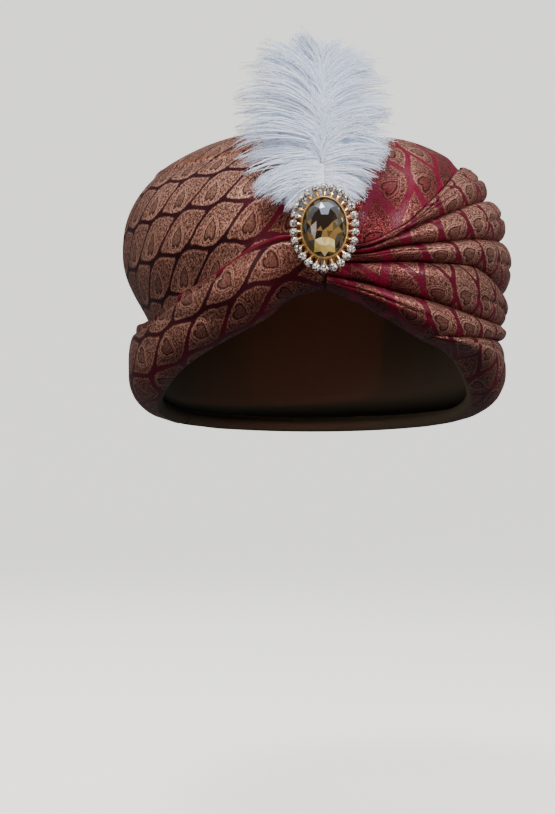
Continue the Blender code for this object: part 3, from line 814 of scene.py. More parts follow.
def left_pattern(turn, arc, drop, down, phase=(0.0, 0.0)):
    """Flattens the band round the left side. In front its columns are kept upright, where
    plain lines from pole to pole would lean together towards the top."""
    side = turn - 360 if turn > 180 else turn
    keep = UPRIGHT_SHARE * (1 - ease(60, 130, abs(side - UPRIGHT_TURN)))
    narrow = form_point(turn, drop)[0] / form_point(turn, CROWN_RISE)[0]
    return slanted(arc * (1 - keep * (1 - narrow)), -down, LEFT_WEAVE, phase)


def right_pattern(point, phase=(0.0, 0.0)):
    """Flattens the right of the dome round its middle with little distortion."""
    ray = Vector(point) - BALL
    ray.normalize()
    angle = ray.angle(RIGHT_CENTRE)
    flat = ray - RIGHT_CENTRE * ray.dot(RIGHT_CENTRE)
    flat = flat * (angle * BALL_RADIUS / max(flat.length, 1e-9))
    return slanted(flat.dot(RIGHT_ACROSS), flat.dot(RIGHT_UP), RIGHT_WEAVE, phase)


def arc_at(turn):
    """How far round the crown a turn lies, counted back from the knot."""
    return float(np.interp(turn, crown_turns + [END_TURN], around)) - around[-1]


heart_line = crown_line(LEFT_HEART[0])
heart_down = float(np.interp(LEFT_HEART[1], [p[2] for p in heart_line], arc_lengths(heart_line)))
left_spot = left_pattern(LEFT_HEART[0], arc_at(LEFT_HEART[0]), LEFT_HEART[1], heart_down)
right_spot = right_pattern(place(RIGHT_HEART[0], *form_point(*RIGHT_HEART)[:2]))
LEFT_PHASE = (-left_spot[0], -left_spot[1])
RIGHT_PHASE = (-right_spot[0], -right_spot[1])
print("pattern shift, left and right:", [round(x, 4) for x in LEFT_PHASE + RIGHT_PHASE])

# %% [markdown]
# The crown's grid holds a section for each turn: the outer cloth from the top down, and then
# the lining back up. Small wrinkles are laid on the outer cloth. Its tints are crimson near
# the folds and the brooch, a painted warm highlight in gold along the edge of the top layer,
# and painted sheen on the satin, brighter in front on the right and near the knot on the left.

# %% Crown tints
LEFT_LENGTH, RIGHT_LENGTH, TOP_LAYER = 0, 1, 2


def length_of_cloth(point, ring):
    """Which of the crown's three lengths of cloth shows at a point."""
    if point[0] > join_side(point[1]):
        return RIGHT_LENGTH
    return TOP_LAYER if ring < CAP_RINGS - 1 else LEFT_LENGTH


def crown_shade(cloth, side, drop, cap, from_folds):
    """The crimson, gold and lit tints at a spot of the crown. Gold is a painted warm
    highlight at the top layer's edge, and lit is painted sheen on the satin.
    """
    front = 1 - ease(70, 130, abs(side))
    if cloth == RIGHT_LENGTH:
        red = (1 - ease(0.006, 0.045, from_folds)) * (0.25 + 0.75 * front)
        red = max(red, 1.25 * (1.0 - ease(16, 44, abs(side))))
        return (0.16 + 0.84 * red, 0, 0.20 + 0.40 * front)
    # gold paints a warm highlight along the top layer's edge in front: a painted highlight
    near_cap = hump(cap - drop, 0.0045) if cloth == TOP_LAYER else 0.0
    near_knot = (1 - ease(6, 26, abs(side))) * ease(0.03, 0.05, drop)
    return (0.04 + 0.8 * near_knot, 0.75 * near_cap * front,
            0.08 + 0.6 * near_knot + 0.10 * (1 - front))


print("tints beside the brooch:", crown_shade(RIGHT_LENGTH, 0, 0.07, 0.02, 0.01))

# %% Crown grid
BROAD_WRINKLE, FINE_WRINKLE = (0.0011, 0.055), (0.0005, 0.022)
LINING_STEP, LEAST_DROP = 4, 0.0002
outer = CROWN_RINGS + SEAT_RINGS
lining_rows = list(range(0, outer, LINING_STEP))[::-1]
total = outer + len(lining_rows)
grid = np.zeros((CROWN_TURNS, total, 3))
patterns = np.zeros((3, CROWN_TURNS + 1, total, 2))
shade = np.zeros((CROWN_TURNS, total, 3))
region = np.zeros((CROWN_TURNS, total), int)
for i, (turn, line) in enumerate(zip(crown_turns, crown_lines)):
    lengths = arc_lengths(line)
    side = turn - 360 if turn > 180 else turn
    cap = smooth_value(CAP_EDGE, side)
    for j, (radius, height, drop) in enumerate(line):
        point = place(turn, radius, height)
        bump = BROAD_WRINKLE[0] * wave(point, BROAD_WRINKLE[1])
        bump += FINE_WRINKLE[0] * wave(point, FINE_WRINKLE[1], 5.0)
        _, _, (out, up) = form_point(turn, drop)
        spread = bump * out * ease(0.015, 0.03, drop)
        grid[i, j] = place(turn, radius + spread, height + bump * up)
        arc = around[i] - around[-1]
        patterns[0, i, j] = left_pattern(turn, arc, drop, lengths[j], LEFT_PHASE)
        patterns[1, i, j] = right_pattern(point, RIGHT_PHASE)
        patterns[2, i, j] = slanted(point[0], point[1], LEFT_WEAVE, TOP_PHASE)
        region[i, j] = length_of_cloth(point, j)
        from_folds = lengths[CROWN_RINGS - 1] - lengths[j]
        shade[i, j] = crown_shade(region[i, j], side, drop, cap, from_folds)
    for k, j in enumerate(lining_rows):
        radius, height, drop = line[j]
        _, _, (out, up) = form_point(turn, max(drop, LEAST_DROP))
        grid[i, outer + k] = place(turn, radius - CROWN_WALL * out, height - CROWN_WALL * up)
patterns[:, -1] = patterns[:, 0]
lengths = arc_lengths(crown_lines[0])
for j, (_, _, drop) in enumerate(crown_lines[0]):
    patterns[0, -1, j] = left_pattern(END_TURN, 0.0, drop, lengths[j], LEFT_PHASE)
print("crown grid:", grid.shape[0], "turns by", grid.shape[1], "rings")

# %% Crown mesh
corners = grid_faces(CROWN_TURNS, total - 1, True)
index = (corners[..., 0] % CROWN_TURNS) * total + corners[..., 1]
face_region = region[corners[:, 0, 0] % CROWN_TURNS, corners[:, 0, 1]]
uv = patterns[face_region[:, None], corners[..., 0], corners[..., 1]]
verts = grid.reshape(-1, 3).tolist() + [(0, 0, CROWN_WALL), (0, 0, 0)]
tip, tip_inside = len(verts) - 2, len(verts) - 1
afters = [(i + 1) % CROWN_TURNS for i in range(CROWN_TURNS)]
top_fan = [(i * total, after * total, tip) for i, after in enumerate(afters)]
low_fan = [(i * total + total - 1, after * total + total - 1, tip_inside)
           for i, after in enumerate(afters)]
middle = slanted(0, 0, LEFT_WEAVE, TOP_PHASE)
fan_uv = [(patterns[2, i, 0], patterns[2, after, 0], middle) for i, after in enumerate(afters)]
uv = np.concatenate([uv.reshape(-1, 2), np.array(fan_uv).reshape(-1, 2)])
tints = np.concatenate([shade.reshape(-1, 3), [(0.04, 0, 0.1), (0, 0, 0)]])
inside = [*(corners[:, 0, 1] >= outer - 1), *[False] * CROWN_TURNS, *[True] * CROWN_TURNS]
mesh = woven_mesh("crown_cloth", verts, index.tolist() + top_fan + low_fan, uv, tints, inside)
crown = dress(tidy_object("crown_cloth", mesh), "crown")
print("crown faces:", len(mesh.polygons))

# %% [markdown]
# ## The folds on the right
# Five pleats and a thicker bottom roll fan out from under the brooch. Each pleat is cloth
# folded over and pulled tight, so it is a long soft ridge with a deep crease on each side, and
# its lower lip hangs a little over the pleat below. A cloth simulation could fold them, but it
# would fold them its own way. Here one closed outline is drawn for every turn, and the
# outlines are joined. The pleats are one turn of cloth each, so the leaves run on along a
# pleat but never match the next one.

# %% Pleat table
PLEATS = (
    # name, upper, lower, proud, upper crease, lower crease, weave angle, heart (turn, share)
    ("right_fold_1", "top", "b", 0.16, 0.10, 0.60, 64, (52, 0.50)),
    ("right_fold_2", "b", "c", 0.06, 0.60, 0.70, 68, (62, 0.45)),
    ("right_fold_3", "c", "d", 0.16, 0.70, 0.66, 66, (45, 0.45)),
    ("right_fold_4", "d", "e", 0.12, 0.66, 0.64, 62, (45, 0.58)),
    ("right_fold_5", "e", "f", 0.12, 0.64, 0.52, 60, (36, 0.45)),
    ("right_roll", "f", "rim", 0.12, 0.52, 0.42, 56, (58, 0.45)),
)

SMALL_CREASES = (
    # pleat, share of its width, depth, turns where it begins, is full, fades and ends
    ("right_fold_1", 0.30, 0.0017, -9, -8, 34, 78),
    ("right_fold_1", 0.62, 0.0019, -9, -8, 22, 56),
    ("right_fold_1", 0.46, 0.0022, 44, 66, 110, 150),
    ("right_fold_2", 0.52, 0.0018, 46, 68, 120, 160),
    ("right_fold_3", 0.42, 0.0012, -9, -8, 22, 50),
    ("right_fold_3", 0.58, 0.0020, 52, 72, 110, 150),
    ("right_fold_4", 0.66, 0.0022, 40, 64, 110, 150),
    ("right_fold_5", 0.50, 0.0009, -9, -8, 20, 46),
    ("right_roll", 0.30, 0.0014, 37, 40, 60, 96),
)
print("pleats:", len(PLEATS), "with small creases:", len(SMALL_CREASES))

# %% A fold's outline
FOLD_GAP, SEAT_GAP, INNER_POINTS = 0.0004, 0.0006, 6
BULGE_POWER, FOOT_POWER, ROLL_ROUND, LEAST_FLAT = 2.3, 2.4, 0.020, 0.35
LIP_SAG, LIP_HEIGHT, LIP_REACH = 0.0014, 0.008, 0.003


def eased_share(k, count):
    """Where point k of an outer face lies across it, with points closer near both edges."""
    return 0.5 - 0.5 * math.cos(math.pi * k / (count - 1))


def folded_line(turn, shape, upper, lower, foot, count):
    """One fold's closed (radius, height) outline: outer face, lip or crease, and seat."""
    proud, upper_crease, lower_crease = shape
    top = upper + FOLD_GAP
    bottom = lower - (0 if foot else FOLD_GAP)
    thick = FOLD_THICKNESS * gather(turn)
    round_from = max(1 - ROLL_ROUND / (bottom - top), LEAST_FLAT)
    band = inner_band(turn) + SEAT_GAP
    line = []
    for k in range(count):
        share = eased_share(k, count)
        radius, height, (out, up) = form_point(turn, top + (bottom - top) * share)
        bulge = max(1 - abs(2 * share - 1) ** BULGE_POWER, 0.0) ** (1 / BULGE_POWER)
        crease = upper_crease if share < 0.5 else lower_crease
        if foot and share >= 0.5:
            bulge = 1.0
        offset = thick * (proud * bulge - crease * (1 - bulge))
        radius += offset * out
        height += offset * up
        if foot:
            down = max(share - round_from, 0) / (1 - round_from)
            radius = band + (radius - band) * (1 - down**FOOT_POWER) ** (1 / FOOT_POWER)
        else:
            height -= LIP_SAG * gather(turn) * ease(0.6, 0.93, share)
        line.append((radius, height))
    edge = edge_drop("top", turn)
    radius, height = line[-1]
    if foot:
        lip = min(LIP_HEIGHT, 0.45 * (bottom - top))
        line += [(band - LIP_REACH, height + 0.35 * lip), (band - LIP_REACH, height + 0.90 * lip)]
        bottom -= lip
    else:
        seat = seat_point(turn, bottom, edge)
        way = seat[0] + SEAT_GAP - radius, seat[1] - height
        line += [(radius + way[0] * t, height + way[1] * t) for t in (1 / 3, 2 / 3)]
    for k in range(INNER_POINTS):
        drop = bottom + (top - bottom) * k / (INNER_POINTS - 1)
        radius, height = seat_point(turn, drop, edge)
        line.append((radius + SEAT_GAP, height))
    return line


print("points in an outline:", len(folded_line(90, (0.1, 0.6, 0.6), 0.05, 0.08, False, 44)))

# %% Soft wrinkles and the weave along a fold


def soften(grid, outer_points, strength, seed):
    """Pushes a fold's outer face in and out by small wrinkles that run along it."""
    normals = grid_normals(grid)
    sections = grid.shape[0]
    for i in range(sections):
        for j in range(1, outer_points - 1):
            keep = math.sin(math.pi * j / (outer_points - 1)) ** 0.5
            point = grid[i, j]
            stretched = (i / sections * 9.0 + seed, j / outer_points * 2.2, seed)
            push = 0.7 * noise.noise(Vector(stretched)) + 0.5 * wave(point, 0.016, seed)
            grid[i, j] = point + normals[i, j] * (push * strength * keep)


def fold_lengths(grid, points, ridge):
    """How far along a fold each section is, and how far across it each of its outer points."""
    run = np.linalg.norm(np.diff(grid[:, ridge], axis=0), axis=1)
    along = np.concatenate([[0.0], np.cumsum(run)])
    steps = np.linalg.norm(np.diff(grid[:, :points], axis=1), axis=2)
    across = np.concatenate([np.zeros((len(grid), 1)), np.cumsum(steps, axis=1)], axis=1)
    return along[:, None], across


def laid_pattern(grid, points, first, second, heart):
    """Pattern coordinates for a fold, from the two of its outer face. heart is the section and
    the point where the middle of a leaf lies. The hidden side repeats the lower edge."""
    pattern = np.zeros((*grid.shape[:2], 2))
    pattern[:, :points, 0] = first
    pattern[:, :points, 1] = second
    pattern[:, :points] -= pattern[heart].copy()
    pattern[:, points:] = pattern[:, points - 1][:, None]
    return pattern


# %% [markdown]
# Near the brooch each pleat dives under it, and the fifth pleat is the rim itself until the
# bottom roll begins below it. Both outlines, the hanging lip and the turned-in foot, are worked
# out there, and the one blends into the other.

# %% One pleat's grid
PLEAT_STATIONS, PLEAT_POINTS, STATION_GROWTH = 230, 44, 1.15
ROLL_FIRST_TURN, END_GAP = 36.5, 0.2
DIVE, DIVE_TURNS, ROLL_DIVE, ROLL_DIVE_TURNS = 0.28, 4, 0.6, 8
FOOT_BEFORE, FOOT_TURNS = 0.3, 5
PLEAT_WRINKLE, CREASE_WIDTH, CREASE_DRIFT = 0.0011, 0.06, 0.05


def pleat_section(turn, first, upper, lower, shape):
    """One section of a pleat: a foot where it is the rim, and a hanging lip elsewhere."""
    is_roll = lower == "rim"
    depth, turns = (ROLL_DIVE, ROLL_DIVE_TURNS) if is_roll else (DIVE, DIVE_TURNS)
    shape = (shape[0] - depth * (1 - ease(first, first + turns, turn)), *shape[1:])
    start = edge_drop(upper, turn)
    foot = folded_line(turn, shape, start, edge_drop("rim", turn), True, PLEAT_POINTS)
    lip = folded_line(turn, shape, start, edge_drop(lower, turn), False, PLEAT_POINTS)
    as_lip = 0.0 if is_roll else 1.0
    if lower == "f":
        as_lip = ease(ROLL_FIRST_TURN - FOOT_BEFORE, ROLL_FIRST_TURN + FOOT_TURNS, turn)
    return [place(turn, *(a + (b - a) * as_lip for a, b in zip(*pair))) for pair in zip(foot, lip)]


def press_creases(grid, name, turns, number):
    """Presses the small creases of one pleat into its grid."""
    normals = grid_normals(grid)
    for pleat, at, deep, begins, full, fades, ends in SMALL_CREASES:
        if pleat != name:
            continue
        for i, turn in enumerate(turns):
            fade = ease(begins, full, turn) * (1 - ease(fades, ends, turn))
            drift = at + CREASE_DRIFT * math.sin(turn * 0.11 + number)
            for j in range(1, PLEAT_POINTS - 1):
                share = eased_share(j, PLEAT_POINTS)
                grid[i, j] -= normals[i, j] * (deep * fade * hump(share - drift, CREASE_WIDTH))


def pleat_shade(grid, turns, painted_shade_red):
    """A pleat's tints: redder near the brooch. Towards its lower edge the thread is
    painted redder, as painted shade, and the satin brighter, as painted sheen.
    """
    shade = np.zeros(grid.shape)
    near_knot = np.array([1 - ease(10, 54, turn) for turn in turns])
    for j in range(PLEAT_POINTS):
        low = ease(0.35, 0.9, j / (PLEAT_POINTS - 1))
        shade[:, j, 0] = np.minimum(0.07 + painted_shade_red * low + 0.95 * near_knot, 1.15)
        shade[:, j, 2] = 0.25 + 0.25 * low + 0.25 * near_knot
    return shade


print("sections in a pleat:", PLEAT_STATIONS)

# %% Pleats
for number, (name, upper, lower, *shape, weave, heart) in enumerate(PLEATS):
    is_roll = lower == "rim"
    first = ROLL_FIRST_TURN if is_roll else START_TURN + END_GAP
    turns = [first + (TUCK_TURN - END_GAP - first) * (i / (PLEAT_STATIONS - 1)) ** STATION_GROWTH
             for i in range(PLEAT_STATIONS)]
    grid = np.array([pleat_section(turn, first, upper, lower, shape) for turn in turns])
    soften(grid, PLEAT_POINTS, PLEAT_WRINKLE, 3.7 * number)
    press_creases(grid, name, turns, number)
    along, across = fold_lengths(grid, PLEAT_POINTS, PLEAT_POINTS // 2)
    angle = math.radians(weave)
    leaf_middle = (int(np.searchsorted(turns, heart[0])), int(heart[1] * PLEAT_POINTS))
    pattern = laid_pattern(grid, PLEAT_POINTS, along - across / math.tan(angle),
                           -across / math.sin(angle), leaf_middle)
    # the roll's lower edge takes more painted shade than a pleat's
    shade = pleat_shade(grid, turns, 0.60 if is_roll else 0.34)
    first_lined = PLEAT_POINTS - 1 if is_roll else grid.shape[1]
    made = cloth_object(name + "_cloth", grid, pattern, shade, first_lined)
    dress(made, name)
    print(made.name, "faces:", len(made.data.polygons))

# %% [markdown]
# ## The wide wrap on the left
# The last length of cloth comes from under the brooch, spreads out smooth round the left and
# turns under at the rim. Its top edge is rolled, with the satin side out, so a thin red line
# runs along it, and the satin there is painted brighter as painted sheen. It is one very wide
# fold, so the pleats' own outline serves again, with more points across it and with a roll and
# a groove below the edge.

# %% Wrap grid
WRAP_STATIONS, WRAP_POINTS, WRAP_RIDGE = 260, 84, 40
WRAP_SHAPE, WRAP_DIVE, DIVE_TURN = (0.42, 0.34, 0.0), 1.3, 366.0
EDGE_ROLL = (0.0012, 0.10, 0.04)
EDGE_GROOVE = (0.0010, 0.19, 0.03)
WRAP_BROAD, WRAP_FINE = (0.0010, 0.040), (0.0004, 0.014)


def wrap_turn(station, gap=0.0):
    """The turn at which a station of the wrap lies."""
    return TUCK_TURN + gap + (DIVE_TURN - gap - TUCK_TURN) * station / (WRAP_STATIONS - 1)


sections = []
for turn in (wrap_turn(i, END_GAP) for i in range(WRAP_STATIONS)):
    dive = WRAP_DIVE * ease(END_TURN - 2.5, DIVE_TURN, turn)
    shape = (WRAP_SHAPE[0] - dive, *WRAP_SHAPE[1:])
    line = folded_line(turn, shape, edge_drop("top", turn), edge_drop("rim", turn), True,
                       WRAP_POINTS)
    sections.append([place(turn, *point) for point in line])
grid = np.array(sections)
normals = grid_normals(grid)
for i in range(WRAP_STATIONS):
    for j in range(1, WRAP_POINTS - 1):
        share = j / (WRAP_POINTS - 1)
        fade = ease(0.0, 0.08, share) * (1 - ease(0.9, 1.0, share))
        push = EDGE_ROLL[0] * hump(share - EDGE_ROLL[1], EDGE_ROLL[2])
        push -= EDGE_GROOVE[0] * hump(share - EDGE_GROOVE[1], EDGE_GROOVE[2])
        push += fade * (WRAP_BROAD[0] * wave(grid[i, j], WRAP_BROAD[1], 2.0)
                        + WRAP_FINE[0] * wave(grid[i, j], WRAP_FINE[1], 8.0))
        grid[i, j] += normals[i, j] * push
for end, corner in (("low", grid.min((0, 1))), ("high", grid.max((0, 1)))):
    print("wrap's", end, "corner:", corner.round(3))

# %% Wrap pattern, tints and mesh
WRAP_WEAVE, WRAP_HEART = math.radians(17), (336.75, 0.26)
along, across = fold_lengths(grid, WRAP_POINTS, WRAP_RIDGE)
along, across = along - along[-1], -across
across_shares = [eased_share(k, WRAP_POINTS) for k in range(WRAP_POINTS)]
leaf_middle = (int((WRAP_HEART[0] - TUCK_TURN) / (DIVE_TURN - TUCK_TURN) * WRAP_STATIONS),
               int(np.interp(WRAP_HEART[1], across_shares, range(WRAP_POINTS))))
pattern = laid_pattern(grid, WRAP_POINTS,
                       along * math.sin(WRAP_WEAVE) - across * math.cos(WRAP_WEAVE),
                       along * math.cos(WRAP_WEAVE) + across * math.sin(WRAP_WEAVE),
                       leaf_middle)
# The rolled edge is the satin's own red with painted sheen on it. The lower part is painted redder
# and brighter, as painted warm light from below, and near the knot the cloth is redder.
shade = np.zeros(grid.shape)
near_knot = np.array([ease(322, 352, wrap_turn(i)) for i in range(WRAP_STATIONS)])
for j in range(WRAP_POINTS):
    rolled = 1 - ease(0.10, 0.19, j / (WRAP_POINTS - 1))
    low = ease(0.45, 0.95, j / (WRAP_POINTS - 1))
    shade[:, j] = (0.17 + 0.75 * rolled + 0.42 * low, 0.0, 0.12 + 0.65 * rolled + 0.40 * low)
    shade[:, j, 0] = np.minimum(shade[:, j, 0] + 0.30 * near_knot, 1.0)
wrap = cloth_object("left_wrap_cloth", grid, pattern, shade, WRAP_POINTS - 1)
dress(wrap, "left_wrap")
print("wrap faces:", len(wrap.data.polygons))

# %% [markdown]
# ## The brooch
# The brooch is one frame of its own: x to the side, y up its face and z out towards the
# viewer, tipped back a few degrees as it lies on the cloth. A gold bezel holds a large oval
# stone, and a ray of thin gold claws runs out from it to a ring of small clear stones. The
# metal and the stones are hard and crisp, in contrast to everything round them.

# %% Brooch frame and sizes
BROOCH_AT, BROOCH_TILT = Vector((0.0035, -0.1364, -0.0686)), 5.0
STONE_HALF, HALO_HALF = (0.0125, 0.0172), (0.0182, 0.0241)
HALO_STONES, HALO_RADIUS = 26, 0.0021
PLATE, ARM_TOP, METAL_GAP, BEZEL_TOP = 0.0012, 0.0014, 0.0003, 0.0046
brooch_frame = Matrix.Translation(BROOCH_AT) @ Matrix.Rotation(
    math.radians(90 - BROOCH_TILT), 4, "X"
)
GOLD, _ = plain_material("gold", linear(250, 212, 146), 0.34, 0.85)
print("brooch:", [round(2 * (half + HALO_RADIUS), 4) for half in HALO_HALF], "m over its stones")

# %% Rings of points
OVAL_WALK = 1440
UPWARD = Vector((0, 0, 1))


def oval_point(half, angle, height=0.0):
    """The point of an oval at an angle."""
    return Vector((half[0] * math.cos(angle), half[1] * math.sin(angle), height))


def oval_out(half, angle):
    """The direction straight out of an oval at an angle."""
    return Vector((math.cos(angle) / half[0], math.sin(angle) / half[1], 0)).normalized()


def oval_points(half, count, height, turned=0.0):
    """Points round an oval at equal angles."""
    return [oval_point(half, 2 * math.pi * (i + turned) / count, height) for i in range(count)]


def round_points(middle, radius, count, height):
    """Points round a circle about a middle."""
    return [middle + p for p in oval_points((radius, radius), count, height)]


def even_oval(half, count, height=0.0):
    """Points evenly spaced along an oval, with the outward direction at each."""
    walk = [2 * math.pi * i / OVAL_WALK for i in range(OVAL_WALK + 1)]
    spots = [oval_point(half, a) for a in walk]
    lengths = np.concatenate([[0], np.cumsum([(b - a).length for a, b in zip(spots, spots[1:])])])
    wanted = [lengths[-1] * (i + 0.5) / count for i in range(count)]
    angles = np.interp(wanted, lengths, walk).tolist()
    return [(oval_point(half, a, height), oval_out(half, a)) for a in angles]


(one, _), (next_one, _) = even_oval(HALO_HALF, HALO_STONES)[:2]
print("small stones are", round((next_one - one).length, 5), "m apart")

# %% Skins
def lofted(bm, rings, wrap=False):
    """Adds a closed skin through rings of points, wrapped round or capped at both ends."""
    loops = [[bm.verts.new(p) for p in ring] for ring in rings]
    pairs = list(zip(loops, loops[1:])) + ([(loops[-1], loops[0])] if wrap else [])
    for first, second in pairs:
        for k in range(len(first)):
            after = (k + 1) % len(first)
            bm.faces.new((first[k], first[after], second[after], second[k]))
    if not wrap:
        bm.faces.new(loops[0])
        bm.faces.new(loops[-1])


def finished(name, bm, finish, smooth_angle=None):
    """Turns a bmesh into an object in the brooch's frame. Faces that meet at less than
    smooth_angle are shaded as one surface."""
    bmesh.ops.transform(bm, matrix=brooch_frame, verts=bm.verts)
    bmesh.ops.recalc_face_normals(bm, faces=bm.faces)
    mesh = bpy.data.meshes.new(name)
    bm.to_mesh(mesh)
    bm.free()
    mesh.materials.append(finish)
    if smooth_angle is not None:
        mesh.shade_smooth()
        mesh.set_sharp_from_angle(angle=math.radians(smooth_angle))
    return added(name, mesh)


def band_rings(half, wall_points, count):
    """Rings for a band that runs round an oval; wall_points are (outward, height) pairs."""
    rings = []
    for angle in (2 * math.pi * i / count for i in range(count)):
        base, out = oval_point(half, angle), oval_out(half, angle)
        rings.append([base + out * d + UPWARD * z for d, z in wall_points])
    return rings


# %% [markdown]
# The metal is cast and then polished, with a cup for each small stone, four prongs bent over
# it, a tapering arm that holds the cup and thin rays between. Each of these is a short list of
# widths and heights that a loop carries round the oval.

# %% Bezel and dish
METAL_SMOOTH = 40
BEZEL_SIDES, DISH_SIDES, DISH_OVERLAP, DISH_BACK = 96, 64, 0.0004, 0.0003
BEZEL_WALL = (
    # outward from the stone, height: inside, lip, outside and foot
    (0.0, PLATE), (0.0, BEZEL_TOP - 0.0008), (0.0002, BEZEL_TOP - 0.0002),
    (0.0005, BEZEL_TOP), (0.0009, BEZEL_TOP - 0.0003), (0.0011, BEZEL_TOP - 0.0009),
    (0.0012, 0.0016), (0.0016, 0.0010), (0.0016, 0.0002), (0.0, 0.0002),
)
setting_bm = bmesh.new()
seat_half = (STONE_HALF[0] + METAL_GAP, STONE_HALF[1] + METAL_GAP)
dish_half = (seat_half[0] + DISH_OVERLAP, seat_half[1] + DISH_OVERLAP)
lofted(setting_bm, band_rings(seat_half, BEZEL_WALL, BEZEL_SIDES), wrap=True)
lofted(setting_bm, [oval_points(dish_half, DISH_SIDES, z) for z in (DISH_BACK, PLATE)])
print("bezel and dish faces:", len(setting_bm.faces))

# %% Arms, cups and prongs
ARM_ROOT = (0.735, 0.772)
ARM = (
    # share of the way out, half width, low side, high side
    (0.0, 0.00035, 0.0012, 0.0030),
    (0.35, 0.00085, 0.0010, 0.0026),
    (0.7, 0.0016, 0.0006, 0.0021),
    (0.95, 0.0021, 0.0003, 0.0014),
)
ARM_BELLY, ARM_RIDGE, ARM_SHOULDER = 0.0001, 0.0003, 0.6
CUP = ((0.80, 0.0002), (1.12, 0.0004), (1.16, 0.0014), (1.06, ARM_TOP + 0.0004))
CUP_SIDES, PRONGS, PRONG_SIDES, PRONG_RADIUS, PRONG_OUT = 20, 4, 6, 0.00036, 1.08
PRONG = ((1.0, 0.0010), (1.0, 0.0026), (0.75, 0.0030), (0.25, 0.0032))
for spot, out in even_oval(HALO_HALF, HALO_STONES):
    across = Vector((-out.y, out.x, 0))
    root = Vector((spot.x * ARM_ROOT[0], spot.y * ARM_ROOT[1], 0))
    rings = []
    for t, width, low, high in ARM:
        at = root.lerp(spot, t)
        side, shoulder = across * width, across * width * ARM_SHOULDER
        rings.append([at - side + UPWARD * low, at + UPWARD * (low - ARM_BELLY),
                      at + side + UPWARD * low, at + shoulder + UPWARD * high,
                      at + UPWARD * (high + ARM_RIDGE), at - shoulder + UPWARD * high])
    lofted(setting_bm, rings)
    lofted(setting_bm, [round_points(spot, HALO_RADIUS * s, CUP_SIDES, z) for s, z in CUP])
    for k in range(PRONGS):
        angle = math.atan2(out.y, out.x) + math.pi / 4 + 2 * math.pi * k / PRONGS
        at = spot + Vector((math.cos(angle), math.sin(angle), 0)) * HALO_RADIUS * PRONG_OUT
        lofted(setting_bm, [round_points(at, PRONG_RADIUS * s, PRONG_SIDES, z) for s, z in PRONG])
print("arms:", HALO_STONES, "prongs:", PRONGS * HALO_STONES)

# %% Rays and the finished setting
RAY_END, RAY_ROOT = (0.86, 0.89), (0.84, 0.86)
RAY_TAPER = ((0.0006, 0.0014, 0.0040), (0.00012, 0.0012, 0.0020))
ray_half = (HALO_HALF[0] * RAY_END[0], HALO_HALF[1] * RAY_END[1])
for spot, out in even_oval(ray_half, 2 * HALO_STONES):
    across = Vector((-out.y, out.x, 0))
    root = Vector((spot.x * RAY_ROOT[0], spot.y * RAY_ROOT[1], 0))
    ray = [(at - across * width + UPWARD * low, at + across * width + UPWARD * low,
            at + UPWARD * high) for at, (width, low, high) in zip((root, spot), RAY_TAPER)]
    lofted(setting_bm, ray)
setting = finished("brooch_metal", setting_bm, GOLD, METAL_SMOOTH)
dress(setting, "brooch_setting")
print("setting faces:", len(setting.data.polygons))

# %% [markdown]
# A plain bar behind the plate holds the brooch to the cloth. It can't be seen from in front,
# and it is only a rod.

# %% Pin bar
PIN_RADIUS, PIN_LENGTH, PIN_SIDE, PIN_DROP, PIN_SIDES = 0.0011, 0.022, 0.0055, 0.010, 24
bm = bmesh.new()
pin_middle = Vector((PIN_SIDE, -PIN_DROP, -METAL_GAP - PIN_RADIUS))
lofted(bm, [[pin_middle + Vector((p.x, end * PIN_LENGTH / 2, p.y))
             for p in oval_points((PIN_RADIUS, PIN_RADIUS), PIN_SIDES, 0.0)] for end in (-1, 1)])
pin_bar = finished("pin_bar", bm, GOLD, METAL_SMOOTH)
dress(pin_bar, "brooch_pin")
print("pin bar faces:", len(pin_bar.data.polygons))

# %% [markdown]
# ## The stones
# A cut stone is bright because its back facets send light out again at many angles. The large
# one is honey glass, and each of its facets catches another part of the room: cool and pale
# near the top, brown in the middle and bright yellow low down. Glass that really bends light
# would need many bounces, and the bake can't keep it. Such stones are foiled, and each facet
# here is painted with the one shade that it catches, as a painted reflection under a clear
# coat. The small ones are colourless, with a flat table and a ring of eight facets, painted in
# greys by chance as painted reflections and glints.

# %% Cut glass
# The large stone's facet shades: its honey tones with painted reflections of the room, grey and
# slate near the top, bright yellow and straw low down.
STONE_GREY = linear(122, 132, 146)
STONE_SLATE = linear(74, 74, 76)
STONE_DARK = linear(36, 27, 18)
STONE_OLIVE = linear(84, 70, 40)
STONE_AMBER = linear(132, 106, 58)
STONE_YELLOW = linear(222, 206, 116)
STONE_STRAW = linear(244, 240, 186)


def painted_facet_material(name, roughness):
    """Cut glass over foil, drawn as painted reflections: each facet is painted with the
    one shade that it catches.
    """
    made, shader = plain_material(name, (1, 1, 1), roughness)
    facet = made.node_tree.nodes.new("ShaderNodeAttribute")
    facet.attribute_name = "facet"
    made.node_tree.links.new(facet.outputs["Color"], shader.inputs["Base Color"])
    shader.inputs["Specular IOR Level"].default_value = 0.5
    shader.inputs["Coat Weight"].default_value = 0.6
    shader.inputs["Coat Roughness"].default_value = 0.02
    return made


AMBER = painted_facet_material("amber_glass", 0.12)
CLEAR = painted_facet_material("clear_glass", 0.10)
print("glass:", AMBER.name, CLEAR.name)

# %% Cutting a stone


